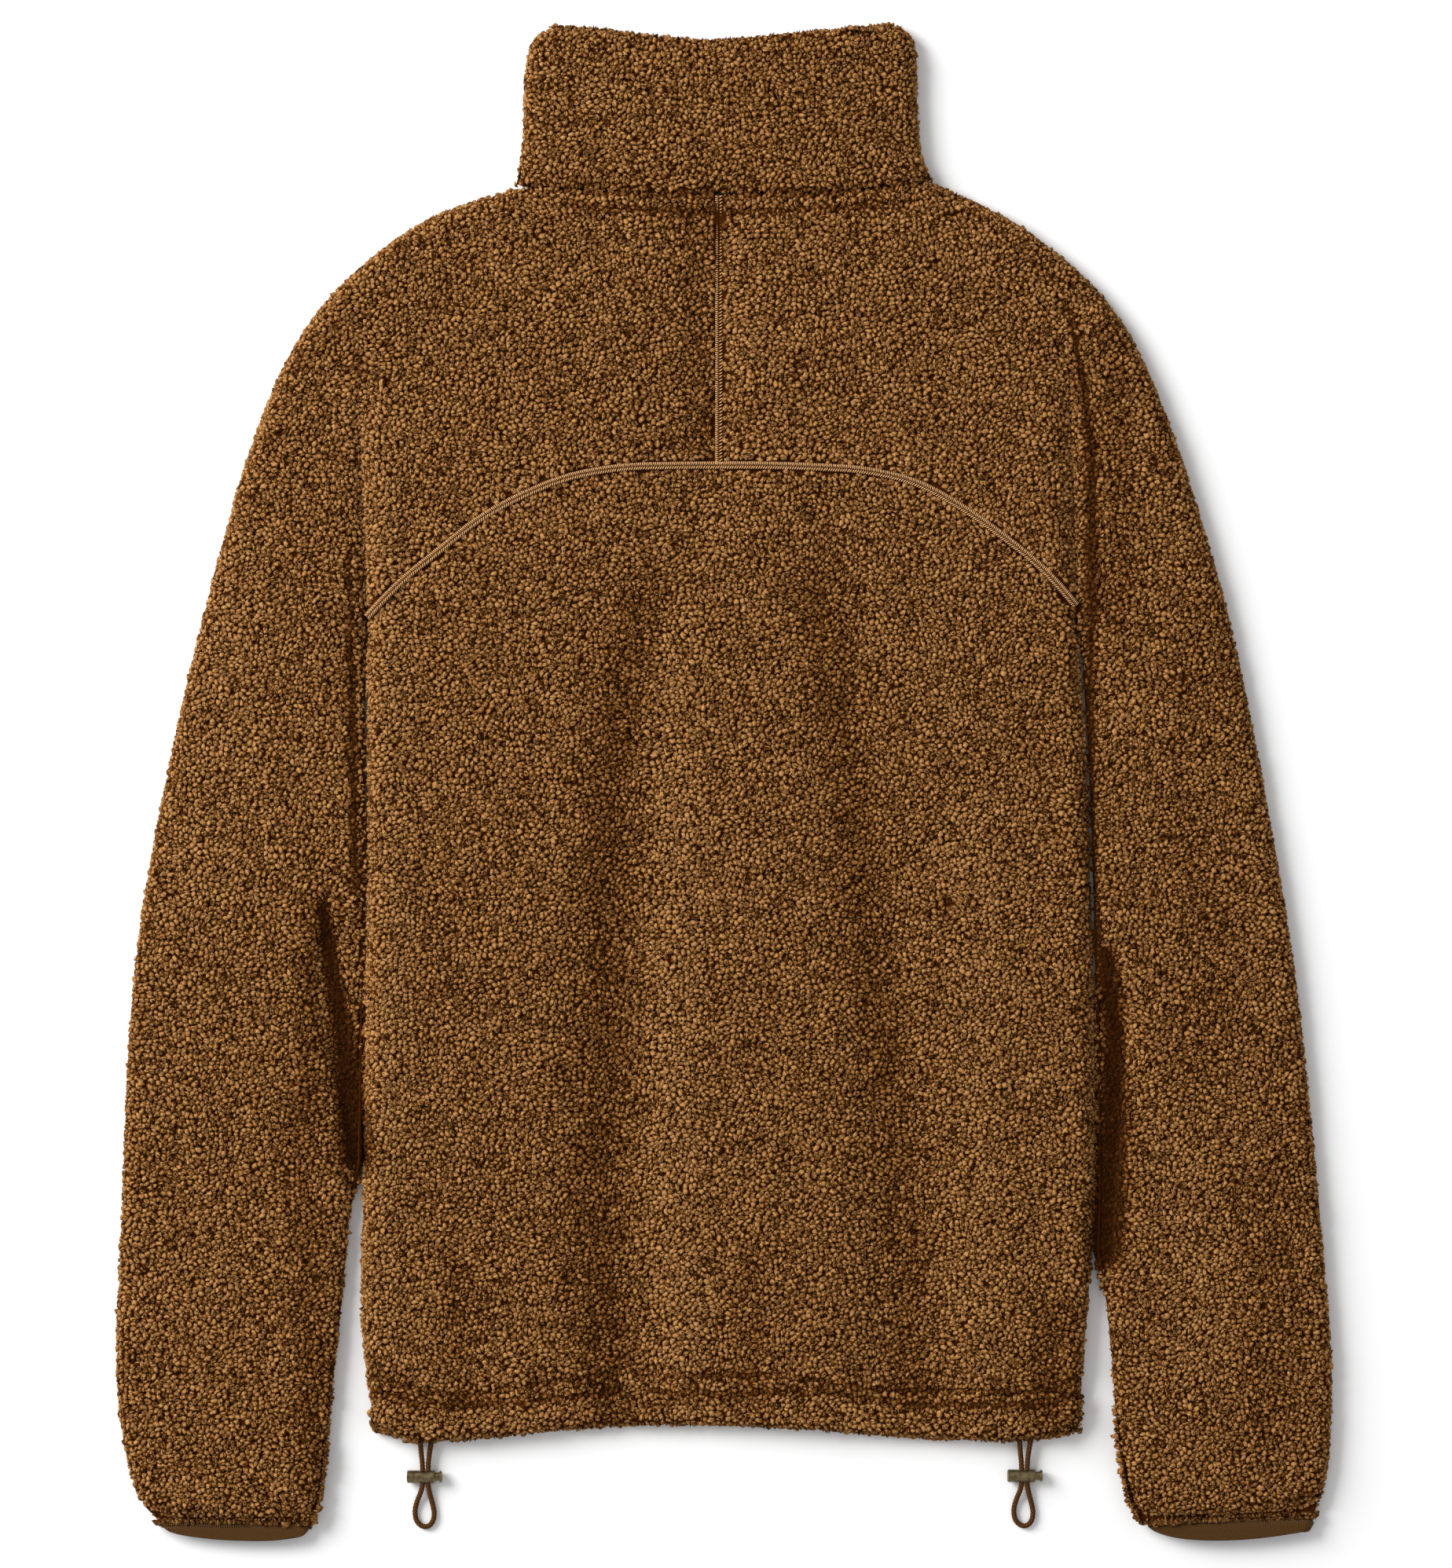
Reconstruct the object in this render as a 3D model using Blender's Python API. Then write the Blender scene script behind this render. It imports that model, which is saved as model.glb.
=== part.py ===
"""Stand-collar full-zip fleece jacket, lying flat on its front with its back upwards.

Frame: +Z up, floor at z = 0, collar towards +Y, the wearer's left side towards -X.
The origin is under the middle of the whole jacket. Plans and tables are in
millimetres, and each mesh is turned to metres where it is made.

Each cloth piece is one wall. Its outer face is worked out from plies: a back ply whose
height follows the folds, and a front ply that rests on the floor. The plies of one
piece join where the cloth turns round an edge, and the wall is then set inwards.
"""
import math
from collections import namedtuple

import bpy
import numpy as np
from mathutils import Vector
from mathutils.geometry import delaunay_2d_cdt

MM = 0.001

# ---- driving sizes, mm -------------------------------------------------------------
FLEECE_WALL = 3.0       # knitted ground and the dense root of its curled pile
SEAM_GAP = 0.3          # between neighbouring pieces
CENTRE_X = -3.0         # centre back seam and zip
ZIP_OPENING = 10.0      # between the fleece edges of the two fronts
BODY_RISE = 12.5        # height of the back's outer face over the floor
ARM_RISE = 11.0         # height of a sleeve's outer face
FOLD_HEIGHT = 5.6       # height at which the cloth turns round a side edge
FOLD_REACH = 11.0       # width over which the back ply rounds down to that edge
UNDER_REACH = 5.0       # the same for the front ply
HEM_DROP = 2.5          # how far the back's hem rounds down
HEM_REACH = 8.0
CUFF_DROP = 2.0
CUFF_REACH = 9.0
FRONT_NECK_DROP = 30.0  # how much lower the neck is at the front
FRONT_HEM_RISE = 3.0    # the front hems lie this much above the back hem

# ---- outlines, mm: (x, y) -----------------------------------------------------------
ARM_FOLD = {
    "left": (
        (-118.0, 334.0), (-143.0, 326.5), (-171.5, 314.5), (-206.0, 288.5),
        (-231.5, 262.0), (-258.5, 209.5), (-290.0, 104.0), (-314.5, -2.0),
        (-331.5, -107.0), (-339.5, -265.0), (-342.0, -325.0), (-337.5, -371.0),
        (-329.0, -402.0), (-318.5, -414.0)),
    "right": (
        (118.0, 337.0), (140.0, 327.0), (164.0, 314.5), (197.5, 288.5),
        (222.0, 262.0), (247.0, 209.5), (280.5, 104.0), (303.0, -2.0),
        (320.5, -107.0), (336.5, -265.0), (341.0, -325.0), (340.5, -371.0),
        (337.0, -397.0), (331.5, -410.5)),
}
ARM_INNER = {           # from where the sleeve leaves the body's side to the cuff
    "left": (
        (-205.5, -213.0), (-210.0, -248.0), (-213.5, -292.0), (-218.5, -335.0),
        (-222.0, -371.0), (-225.0, -399.0), (-230.5, -414.0)),
    "right": (
        (207.8, -262.0), (210.5, -281.0), (214.5, -297.0), (217.0, -335.0),
        (220.0, -374.0), (225.5, -401.0), (233.0, -414.0)),
}
ARCH = (                # seam between the yoke and the lower back
    (-212.0, 82.0), (-200.6, 93.0), (-185.0, 109.0), (-160.0, 130.0), (-137.5, 147.5),
    (-102.0, 166.0), (-71.0, 175.0), (-36.0, 177.5), (-3.0, 178.0), (36.0, 177.5),
    (82.5, 174.5), (105.0, 169.0), (127.0, 158.0), (144.5, 146.5), (166.5, 130.0),
    (188.5, 109.5), (197.0, 100.0), (209.0, 87.0))
NECK = (                # seam between the yoke and the collar, at the back
    (-118.0, 334.0), (-95.0, 332.5), (-54.0, 330.0), (-3.0, 329.0), (56.0, 330.0),
    (98.0, 333.5), (118.0, 337.0))
HEM = (
    (-204.0, -361.0), (-195.0, -363.0), (-168.0, -370.0), (-124.0, -366.0),
    (-54.0, -360.0), (34.0, -361.5), (122.0, -367.5), (178.0, -368.0),
    (198.0, -362.5), (206.0, -361.0))
COLLAR_SIDE = {
    "left": (
        (-118.0, 334.6), (-113.8, 350.0), (-113.0, 394.0), (-110.5, 411.0),
        (-104.0, 421.0), (-96.0, 424.5)),
    "right": (
        (118.0, 337.6), (110.3, 352.0), (108.2, 370.0), (109.5, 396.0),
        (108.0, 412.0), (105.0, 420.5), (98.0, 424.5)),
}
COLLAR_TOP = (
    (-96.0, 424.5), (-60.0, 421.5), (-27.0, 417.0), (-3.0, 416.5), (22.0, 418.5),
    (51.0, 421.5), (98.0, 424.5))
CUFF_END = {            # free edge of the cuff binding
    "left": (
        (-317.5, -416.5), (-308.0, -421.5), (-274.0, -425.0), (-246.0, -424.5),
        (-235.0, -421.5), (-232.0, -417.5)),
    "right": (
        (330.5, -415.0), (328.0, -419.0), (299.5, -423.8), (272.0, -425.0),
        (248.0, -423.0), (236.5, -417.5)),
}

# ---- lines where the cloth turns down beside the crevice, mm ------------------------
# floor: height at the line; reach: width of the rounding; ridge: swelling beside it
Edge = namedtuple("Edge", "x y floor reach ridge")
BODY_EDGE = {
    "left": (
        Edge(-205.5, 223.0, 12.5, 10.0, 0.0), Edge(-203.5, 175.0, 8.6, 10.0, 1.5),
        Edge(-200.6, 93.0, 7.2, 10.0, 1.8), Edge(-200.6, 60.0, 5.8, 9.0, 1.5),
        Edge(-200.6, -81.0, 5.8, 9.0, 1.5), Edge(-202.0, -210.0, 5.8, 9.0, 1.5),
        Edge(-203.5, -300.0, 5.8, 9.0, 1.0), Edge(-198.5, -348.0, 5.8, 9.0, 0.5),
        Edge(-196.5, -375.0, 5.8, 9.0, 0.0)),
    "right": (
        Edge(190.5, 262.0, 12.5, 14.0, 0.0), Edge(193.5, 205.0, 8.6, 14.0, 1.0),
        Edge(197.0, 100.0, 7.2, 10.0, 1.2), Edge(199.5, 66.0, 5.8, 9.0, 1.2),
        Edge(203.7, 0.0, 5.8, 9.0, 1.2), Edge(207.2, -150.0, 5.8, 9.0, 1.2),
        Edge(207.2, -256.0, 5.8, 9.0, 1.2), Edge(203.0, -300.0, 5.8, 9.0, 1.0),
        Edge(200.0, -345.0, 5.8, 9.0, 0.5), Edge(199.0, -375.0, 5.8, 9.0, 0.0)),
}
ARM_EDGE = {            # leaves the body's side round a hollow and comes back to it
    "left": (
        Edge(-205.5, 223.0, 12.5, 12.0, 0.0), Edge(-203.5, 175.0, 8.6, 13.0, 0.0),
        Edge(-200.6, 93.0, 7.2, 14.0, 0.0), Edge(-200.6, 60.0, 5.8, 14.0, 0.0),
        Edge(-200.6, -76.0, 5.8, 14.0, 0.0), Edge(-213.0, -80.0, 6.6, 13.0, 0.0),
        Edge(-224.5, -87.0, 6.6, 12.0, 0.0), Edge(-228.0, -109.0, 6.6, 12.0, 0.0),
        Edge(-217.0, -168.0, 6.6, 12.0, 0.0), Edge(-208.0, -208.0, 5.8, 12.0, 0.0),
        Edge(-210.0, -248.0, 5.8, 12.0, 0.0), Edge(-213.5, -292.0, 5.8, 12.0, 0.0),
        Edge(-222.0, -371.0, 5.8, 11.0, 0.0), Edge(-232.0, -425.0, 5.8, 9.0, 0.0)),
    "right": (
        Edge(190.5, 262.0, 12.5, 26.0, 0.0), Edge(193.5, 205.0, 8.6, 30.0, 0.0),
        Edge(197.0, 100.0, 7.2, 30.0, 0.0), Edge(199.5, 66.0, 5.8, 30.0, 0.0),
        Edge(205.5, -60.0, 5.8, 24.0, 0.0), Edge(207.5, -116.0, 5.8, 20.0, 0.0),
        Edge(218.0, -120.0, 6.6, 14.0, 0.0), Edge(225.0, -128.0, 6.6, 12.0, 0.0),
        Edge(222.0, -177.0, 6.6, 12.0, 0.0), Edge(216.0, -256.0, 6.6, 12.0, 0.0),
        Edge(214.5, -297.0, 5.8, 12.0, 0.0), Edge(217.0, -335.0, 5.8, 12.0, 0.0),
        Edge(220.0, -374.0, 5.8, 11.0, 0.0), Edge(236.0, -425.0, 5.8, 9.0, 0.0)),
}
UNDERARM_Y = {"left": 93.0, "right": 100.0}
SEAM_CLOSES = 33.0      # below the underarm the side edges take this long to close

# ---- folds of the back, mm ---------------------------------------------------------
# A trough runs down from y_top to y_low past x_top, x_mid and x_low. It is as wide
# as left and right say, and its depth grows from deep_top to deep_low.
Fold = namedtuple("Fold", "x_top x_mid x_low y_top y_low left right deep_top deep_low")
FOLDS = (
    Fold(-4.0, -4.0, -4.0, 330.0, 178.0, 46.0, 22.0, 3.0, 3.5),
    Fold(-27.0, -57.0, -50.0, 165.0, -345.0, 42.0, 30.0, 0.8, 5.0),
    Fold(50.0, 84.0, 100.0, 165.0, -345.0, 36.0, 40.0, 0.8, 4.6),
    Fold(2.0, 0.0, 0.0, -215.0, -360.0, 17.0, 20.0, 0.0, 2.6),
    Fold(126.0, 124.0, 122.0, -250.0, -362.0, 14.0, 22.0, 0.0, 2.0),
    Fold(187.0, 188.0, 187.0, -235.0, -362.0, 12.0, 13.0, 0.0, 2.2),
    Fold(-92.0, -97.0, -98.0, -230.0, -362.0, 14.0, 22.0, 0.0, 1.8),
    Fold(-150.0, -147.0, -146.0, -245.0, -362.0, 18.0, 16.0, 0.0, 1.6),
    Fold(-174.0, -176.0, -176.0, 215.0, 96.0, 18.0, 22.0, 1.2, 0.6),
)
FOLD_FADE = 38.0        # length over which a trough begins

# ---- sampling of the cloth, mm -----------------------------------------------------
CURVE_STEP = 3.0
EDGE_TURN = math.radians(11.0)
EDGE_STEP = 26.0
BACK_GRID = (13.0, 42.0)
UNDER_GRID = (60.0, 90.0)
ROLL_ANGLES = (35.0, 62.0, 90.0)        # of the rounding, where rows of points lie
UNDER_ROLL_ANGLES = (45.0, 90.0)
ON_EDGE = 0.01          # a point this near to an edge lies on it


def smooth_line(points, step=CURVE_STEP):
    """Points every step along a centripetal Catmull-Rom curve; extra columns follow."""
    p = np.array(points, float)
    p = np.vstack([2.0 * p[0] - p[1], p, 2.0 * p[-1] - p[-2]])
    line = []
    for i in range(1, len(p) - 2):
        gaps = [max(np.linalg.norm(p[i + k][:2] - p[i + k - 1][:2]), 1e-6) ** 0.5
                for k in range(3)]
        t0, t1 = 0.0, gaps[0]
        t2 = t1 + gaps[1]
        t3 = t2 + gaps[2]
        count = max(int(np.linalg.norm(p[i + 1][:2] - p[i][:2]) / step), 1)
        for t in np.linspace(t1, t2, count, endpoint=False):
            a1 = ((t1 - t) * p[i - 1] + (t - t0) * p[i]) / (t1 - t0)
            a2 = ((t2 - t) * p[i] + (t - t1) * p[i + 1]) / (t2 - t1)
            a3 = ((t3 - t) * p[i + 1] + (t - t2) * p[i + 2]) / (t3 - t2)
            b1 = ((t2 - t) * a1 + (t - t0) * a2) / (t2 - t0)
            b2 = ((t3 - t) * a2 + (t - t1) * a3) / (t3 - t1)
            line.append(((t2 - t) * b1 + (t - t1) * b2) / (t2 - t1))
    line.append(p[-2])
    return np.array(line)


def thin_line(line, turn=EDGE_TURN, reach=EDGE_STEP):
    """Keeps the points of a line where it has turned or run far enough, and its ends."""
    kept = [0]
    for i in range(1, len(line) - 1):
        run = np.linalg.norm(line[i, :2] - line[kept[-1], :2])
        before = line[i, :2] - line[kept[-1], :2]
        after = line[i + 1, :2] - line[i, :2]
        cosine = before @ after / (np.linalg.norm(before) * np.linalg.norm(after) + 1e-9)
        if run > reach or (math.acos(max(min(cosine, 1.0), -1.0)) > turn and run > 3.0):
            kept.append(i)
    kept.append(len(line) - 1)
    return line[kept]


def nearest(line, xy):
    """Distance from each point to a line, and the line's other columns at that place."""
    best = np.full(len(xy), 1e9)
    values = np.zeros((len(xy), line.shape[1] - 2))
    for a, b in zip(line[:-1], line[1:]):
        along = b[:2] - a[:2]
        t = np.clip((xy - a[:2]) @ along / max(along @ along, 1e-9), 0.0, 1.0)
        gap = np.linalg.norm(xy - (a[:2] + t[:, None] * along), axis=1)
        closer = gap < best
        best[closer] = gap[closer]
        values[closer] = a[2:] + t[closer, None] * (b[2:] - a[2:])
    return best, values


def line_x(line, y):
    """The x of a line that runs down, at each y."""
    order = np.argsort(line[:, 1])
    return np.interp(y, line[order, 1], line[order, 0])


def line_y(line, x):
    order = np.argsort(line[:, 0])
    return np.interp(x, line[order, 0], line[order, 1])


def smooth_step(t):
    t = np.clip(t, 0.0, 1.0)
    return t * t * (3.0 - 2.0 * t)


def rounding(distance, reach):
    """0 at an edge and 1 beyond its reach, as a quarter of an ellipse."""
    q = np.clip((distance - ON_EDGE) / reach, 0.0, 1.0)
    return np.sqrt(1.0 - (1.0 - q) ** 2)


SIDES = ("left", "right")
OUTWARD = {"left": -1.0, "right": 1.0}
arm_fold = {side: smooth_line(ARM_FOLD[side]) for side in SIDES}
body_edge = {side: smooth_line(BODY_EDGE[side]) for side in SIDES}
arm_edge = {side: smooth_line(ARM_EDGE[side]) for side in SIDES}
arm_inner = {side: smooth_line(ARM_INNER[side]) for side in SIDES}
collar_side = {side: smooth_line(COLLAR_SIDE[side]) for side in SIDES}
arch_line = smooth_line(ARCH)
neck_line = smooth_line(NECK)
hem_line = smooth_line(HEM)
collar_top = smooth_line(COLLAR_TOP)


def fold_depth(fold, x, y):
    t = np.clip((fold.y_top - y) / (fold.y_top - fold.y_low), 0.0, 1.0)
    middle = ((1.0 - t) * (1.0 - 2.0 * t) * fold.x_top + 4.0 * t * (1.0 - t) * fold.x_mid
              + t * (2.0 * t - 1.0) * fold.x_low)
    off = x - middle
    reach = np.where(off < 0.0, fold.left, fold.right)
    deep = fold.deep_top + (fold.deep_low - fold.deep_top) * smooth_step(t)
    begin = smooth_step((fold.y_top - y) / FOLD_FADE)
    end = smooth_step((y - fold.y_low) / FOLD_FADE + 1.0)
    return deep * begin * end * (1.0 - smooth_step(np.abs(off) / reach))


def back_height(xy):
    """Height of the outer face of the body, the yoke and the sleeves, seen from above."""
    x, y = xy[:, 0], xy[:, 1]
    body = np.full(len(xy), BODY_RISE)
    for fold in FOLDS:
        body -= fold_depth(fold, x, y)
    arm = BODY_RISE + (ARM_RISE - BODY_RISE) * smooth_step((200.0 - y) / 200.0)
    beside_body = np.zeros(len(xy), bool)
    for side in SIDES:
        out = OUTWARD[side]
        gap, (floor, reach, ridge) = unpack(nearest(body_edge[side], xy))
        swell = ridge * (1.0 - smooth_step(np.abs(gap - reach) / reach))
        body = floor + (body - floor) * rounding(gap, reach) + swell * rounding(gap, reach)
        beside_body |= (x - line_x(body_edge[side], y)) * out > 0.0
        gap, (floor, reach, ridge) = unpack(nearest(arm_edge[side], xy))
        on_arm = (x - line_x(arm_edge[side], y)) * out > 0.0
        on_side = x * out > 0.0
        rounded = floor + (arm - floor) * np.where(on_arm, rounding(gap, reach), 0.0)
        arm = np.where(on_side, rounded, arm)
    height = np.where(beside_body, arm, body)
    for side in SIDES:
        gap = nearest(arm_fold[side], xy)[0]
        height = FOLD_HEIGHT + (height - FOLD_HEIGHT) * rounding(gap, FOLD_REACH)
    gap = nearest(hem_line, xy)[0]
    height -= np.where(beside_body, 0.0, HEM_DROP * (1.0 - rounding(gap, HEM_REACH)))
    for side in SIDES:
        cuff = np.array([arm_inner[side][-1, :2], arm_fold[side][-1, :2]])
        gap = nearest(cuff, xy)[0]
        height -= CUFF_DROP * (1.0 - rounding(gap, CUFF_REACH)) * (height > FOLD_HEIGHT + 1.0)
    return height


def unpack(found):
    return found[0], found[1].T


def collar_height(xy):
    height = np.full(len(xy), BODY_RISE)
    height += 1.2 * (1.0 - smooth_step(np.abs(xy[:, 0] - 62.0) / 46.0))
    height -= 1.6 * (1.0 - smooth_step(np.abs(xy[:, 0] + 8.0) / 38.0))
    top_gap = nearest(collar_top, xy)[0]
    height -= HEM_DROP * (1.0 - rounding(top_gap, HEM_REACH))
    for side in SIDES:
        gap = nearest(collar_side[side], xy)[0]
        height = FOLD_HEIGHT + (height - FOLD_HEIGHT) * rounding(gap, FOLD_REACH)
    return height


def under_height(lines):
    """Height of a ply that rests on the floor and rounds up at each of the lines."""
    def height(xy):
        low = np.zeros(len(xy))
        for line in lines:
            gap, values = nearest(line, xy)
            rim = values[:, 0] if values.shape[1] else FOLD_HEIGHT
            low = np.maximum(low, rim * (1.0 - rounding(gap, UNDER_REACH)))
        return low
    return height


def inside(outline, xy):
    """Whether each point lies within a closed outline."""
    x, y = xy[:, 0], xy[:, 1]
    result = np.zeros(len(xy), bool)
    for a, b in zip(outline, np.roll(outline, -1, axis=0)):
        crosses = (a[1] > y) != (b[1] > y)
        slope = (b[0] - a[0]) / (b[1] - a[1] + 1e-12)
        result ^= crosses & (x < a[0] + slope * (y - a[1]))
    return result


Border = namedtuple("Border", "points turn")    # turn: 1 where the cloth turns round


def make_ply(borders, height, faces_up, grid, angles, reach, creases=()):
    """One ply: its points, its outward directions and its triangles."""
    outline, turns = [], []
    for border in borders:
        turn = np.broadcast_to(border.turn, len(border.points))
        for point, value in zip(border.points[:, :2], turn):
            if outline and np.linalg.norm(outline[-1] - point) < 0.5:
                turns[-1] = max(turns[-1], value)
                continue
            outline.append(point)
            turns.append(value)
    if np.linalg.norm(outline[0] - outline[-1]) < 0.5:
        turns[0] = max(turns[0], turns.pop())
        outline.pop()
    outline = np.array(outline)
    turns = np.array(turns)
    ahead = np.roll(outline, -1, axis=0) - outline
    ahead /= np.linalg.norm(ahead, axis=1)[:, None]
    tangent = ahead + np.roll(ahead, 1, axis=0)
    tangent /= np.linalg.norm(tangent, axis=1)[:, None]
    area = np.sum(outline[:, 0] * np.roll(outline[:, 1], -1)
                  - outline[:, 1] * np.roll(outline[:, 0], -1))
    sign = 1.0 if area > 0.0 else -1.0
    outward = sign * np.column_stack([tangent[:, 1], -tangent[:, 0]])

    points = list(outline)
    edges = []
    for angle in angles:
        depth = reach * (1.0 - math.cos(math.radians(angle)))
        row = {}
        for i in np.nonzero(turns > 0.4)[0]:
            candidate = outline[i] - outward[i] * depth
            clear = np.min(np.linalg.norm(np.array(points) - candidate, axis=1))
            if clear > 0.45 * depth and inside(outline, candidate[None])[0]:
                row[i] = len(points)
                points.append(candidate)
        edges += [(row[i], row[i + 1]) for i in row if i + 1 in row]
    crease_points = set()
    for line, steps in creases:
        for offset in steps:
            last = None
            for point in line[:, :2] + np.array([offset, 0.0]):
                clear = np.min(np.linalg.norm(np.array(points) - point, axis=1))
                if clear < 1.0 or not inside(outline, point[None])[0]:
                    last = None
                    continue
                if offset == 0.0:
                    crease_points.add(len(points))
                if last is not None:
                    edges.append((last, len(points)))
                last = len(points)
                points.append(point)
    low, high = outline.min(axis=0), outline.max(axis=0)
    spaced = np.array(points)
    for k, y in enumerate(np.arange(low[1] + grid[1] / 2.0, high[1], grid[1])):
        for x in np.arange(low[0] + grid[0] * (0.5 + 0.5 * (k % 2)), high[0], grid[0]):
            point = np.array([x, y])
            if np.min(np.linalg.norm(spaced - point, axis=1)) < 0.55 * grid[0]:
                continue
            if inside(outline, point[None])[0]:
                points.append(point)

    squeeze = np.array([1.0, 1.0 if grid[0] == grid[1] else 0.5])
    flat = [Vector(p * squeeze) for p in points]
    ring = list(range(len(outline)))
    if sign < 0.0:
        ring.reverse()
    found = delaunay_2d_cdt(flat, edges, [ring], 1, 1e-5)
    xy = np.array([[v.x, v.y] for v in found[0]]) / squeeze
    origin = [sources[0] if sources else -1 for sources in found[3]]
    z = height(xy)
    step = 0.5
    dx = (height(xy + [step, 0.0]) - height(xy - [step, 0.0])) / (2.0 * step)
    dy = (height(xy + [0.0, step]) - height(xy - [0.0, step])) / (2.0 * step)
    normal = np.column_stack([-dx, -dy, np.ones(len(xy))])
    if not faces_up:
        normal = -normal
    for i, source in enumerate(origin):
        upright = np.array([0.0, 0.0, 1.0 if faces_up else -1.0])
        if 0 <= source < len(outline) and turns[source] > 0.0:
            sideways = np.array([*outward[source], 0.0])
            normal[i] = turns[source] * sideways + (1.0 - turns[source]) * upright
        elif source in crease_points:
            normal[i] = upright
    normal /= np.linalg.norm(normal, axis=1)[:, None]
    triangles = [tuple(face) if faces_up else tuple(reversed(face)) for face in found[2]]
    return np.column_stack([xy, z]), normal, triangles


def join_plies(plies):
    """Joins plies where their edge points coincide."""
    points, normals, triangles, places = [], [], [], {}
    for ply_points, ply_normals, ply_triangles in plies:
        index = []
        for point, normal in zip(ply_points, ply_normals):
            key = tuple(np.round(point, 2))
            if key not in places:
                places[key] = len(points)
                points.append(point)
                normals.append(normal)
            index.append(places[key])
        triangles += [tuple(index[i] for i in face) for face in ply_triangles]
    return np.array(points), np.array(normals), triangles


def wall_object(name, plies, wall, material):
    """A closed wall: the outer face of the plies, the face set inwards, and their rims."""
    points, normals, triangles = join_plies(plies)
    inner = points - normals * wall
    count = len(points)
    faces = list(triangles)
    faces += [tuple(i + count for i in reversed(face)) for face in triangles]
    sides = {}
    for face in triangles:
        for a, b in zip(face, face[1:] + face[:1]):
            sides[(a, b)] = True
    for a, b in sides:
        if (b, a) not in sides:
            faces.append((b, a, a + count, b + count))
    return make_object(name, np.vstack([points, inner]) * MM, faces, material)


def make_object(name, points, faces, material):
    mesh = bpy.data.meshes.new(name)
    mesh.from_pydata([tuple(p) for p in points], [], faces)
    mesh.validate()
    mesh.shade_smooth()
    mesh.materials.append(material)
    piece = bpy.data.objects.new(name, mesh)
    bpy.context.scene.collection.objects.link(piece)
    return piece


def make_material(name, colour, roughness, metallic=0.0):
    material = bpy.data.materials.new(name)
    material.use_nodes = True
    shader = material.node_tree.nodes["Principled BSDF"]
    shader.inputs["Base Color"].default_value = (*colour, 1.0)
    shader.inputs["Roughness"].default_value = roughness
    shader.inputs["Metallic"].default_value = metallic
    return material


def shifted(line, x=0.0, y=0.0):
    moved = np.array(line, float)
    moved[:, 0] += x
    moved[:, 1] += y
    return moved


def between_x(line, low, high):
    """The part of a line that runs across between two x, with its ends on them."""
    line = line[np.argsort(line[:, 0])][:, :2]
    kept = line[(line[:, 0] > low + 0.5) & (line[:, 0] < high - 0.5)]
    ends = [(x, line_y(line, x)) for x in (low, high)]
    return np.vstack([ends[0], kept, ends[1]])


def between_y(line, high, low):
    """The part of a line that runs down between two y, with its ends on them."""
    kept = line[(line[:, 1] < high - 0.5) & (line[:, 1] > low + 0.5)][:, :2]
    ends = [(line_x(line, y), y) for y in (high, low)]
    return np.vstack([ends[0], kept, ends[1]])


def closing(side, y):
    """How far a side edge below the underarm has closed, from 0 to 1."""
    return smooth_step((UNDERARM_Y[side] - y) / SEAM_CLOSES)


def front_neck(line):
    """The neck seam at the front, which hangs lower towards the zip."""
    lowered = np.array(line)
    span = np.where(line[:, 0] < CENTRE_X, CENTRE_X - NECK[0][0], NECK[-1][0] - CENTRE_X)
    off = np.abs(line[:, 0] - CENTRE_X) / span
    lowered[:, 1] -= FRONT_NECK_DROP * smooth_step(1.0 - off)
    return lowered


arch_points = {
    "left": thin_line(between_x(arch_line, -200.6, CENTRE_X)),
    "right": thin_line(between_x(arch_line, CENTRE_X, 197.0)),
}


def sleeve_yoke(side, material):
    """Half of the yoke and a whole sleeve, cut in one and folded over the shoulder."""
    out = OUTWARD[side]
    half = SEAM_GAP / 2.0
    centre = CENTRE_X + out * half
    zip_edge = CENTRE_X + out * ZIP_OPENING / 2.0
    fold = thin_line(arm_fold[side])
    leave_y = ARM_INNER[side][0][1]
    beside = between_y(body_edge[side], UNDERARM_Y[side] + 0.4, leave_y)
    inner = np.vstack([shifted(thin_line(beside), x=out * 2.0 * half),
                       thin_line(arm_inner[side])[1:, :2]])
    arch = shifted(arch_points[side], y=0.25)
    if side == "left":
        arch = arch[::-1]
    arch[0, 0] = centre
    arch[-1] = inner[0]
    neck = between_x(neck_line, *sorted((centre, fold[0, 0])))
    neck = shifted(thin_line(neck), y=-half)
    front = between_x(front_neck(neck_line), *sorted((zip_edge, fold[0, 0])))
    front = shifted(thin_line(front), y=-half)
    if side == "right":
        neck, front = neck[::-1], front[::-1]
    neck[0], front[0] = fold[0, :2], fold[0, :2]
    neck[-1, 0] = centre
    back_turn = closing(side, inner[:, 1])
    cuff_line = np.array([inner[-1], fold[-1, :2]])
    back = make_ply(
        [Border(neck, 0.0), Border(arch, 0.0), Border(inner, back_turn),
         Border(cuff_line, 0.0), Border(fold[::-1], 1.0)],
        back_height, True, BACK_GRID, ROLL_ANGLES, FOLD_REACH,
        creases=[(thin_line(between_y(body_edge[side], 222.0, UNDERARM_Y[side] + 6.0)),
                  (0.0, -1.5, 1.5, -4.5, 4.5, -10.0, 10.0)),
                 (thin_line(between_y(arm_edge[side], -80.0, leave_y), reach=16.0),
                  (0.0, out * 1.8, out * 5.5, out * 12.0))])
    front_arch = arch.copy()
    front_arch[0, 0] = zip_edge
    rims = np.column_stack([inner, (FOLD_HEIGHT - 0.1) * closing(side, inner[:, 1])])
    low = under_height([arm_fold[side], rims])
    under = make_ply(
        [Border(front, 0.0), Border(front_arch, 0.0), Border(inner, back_turn),
         Border(cuff_line, 0.0), Border(fold[::-1], 1.0)],
        low, False, UNDER_GRID, UNDER_ROLL_ANGLES, UNDER_REACH)
    return wall_object("sleeve_yoke_" + side, [back, under], FLEECE_WALL, material)


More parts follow.
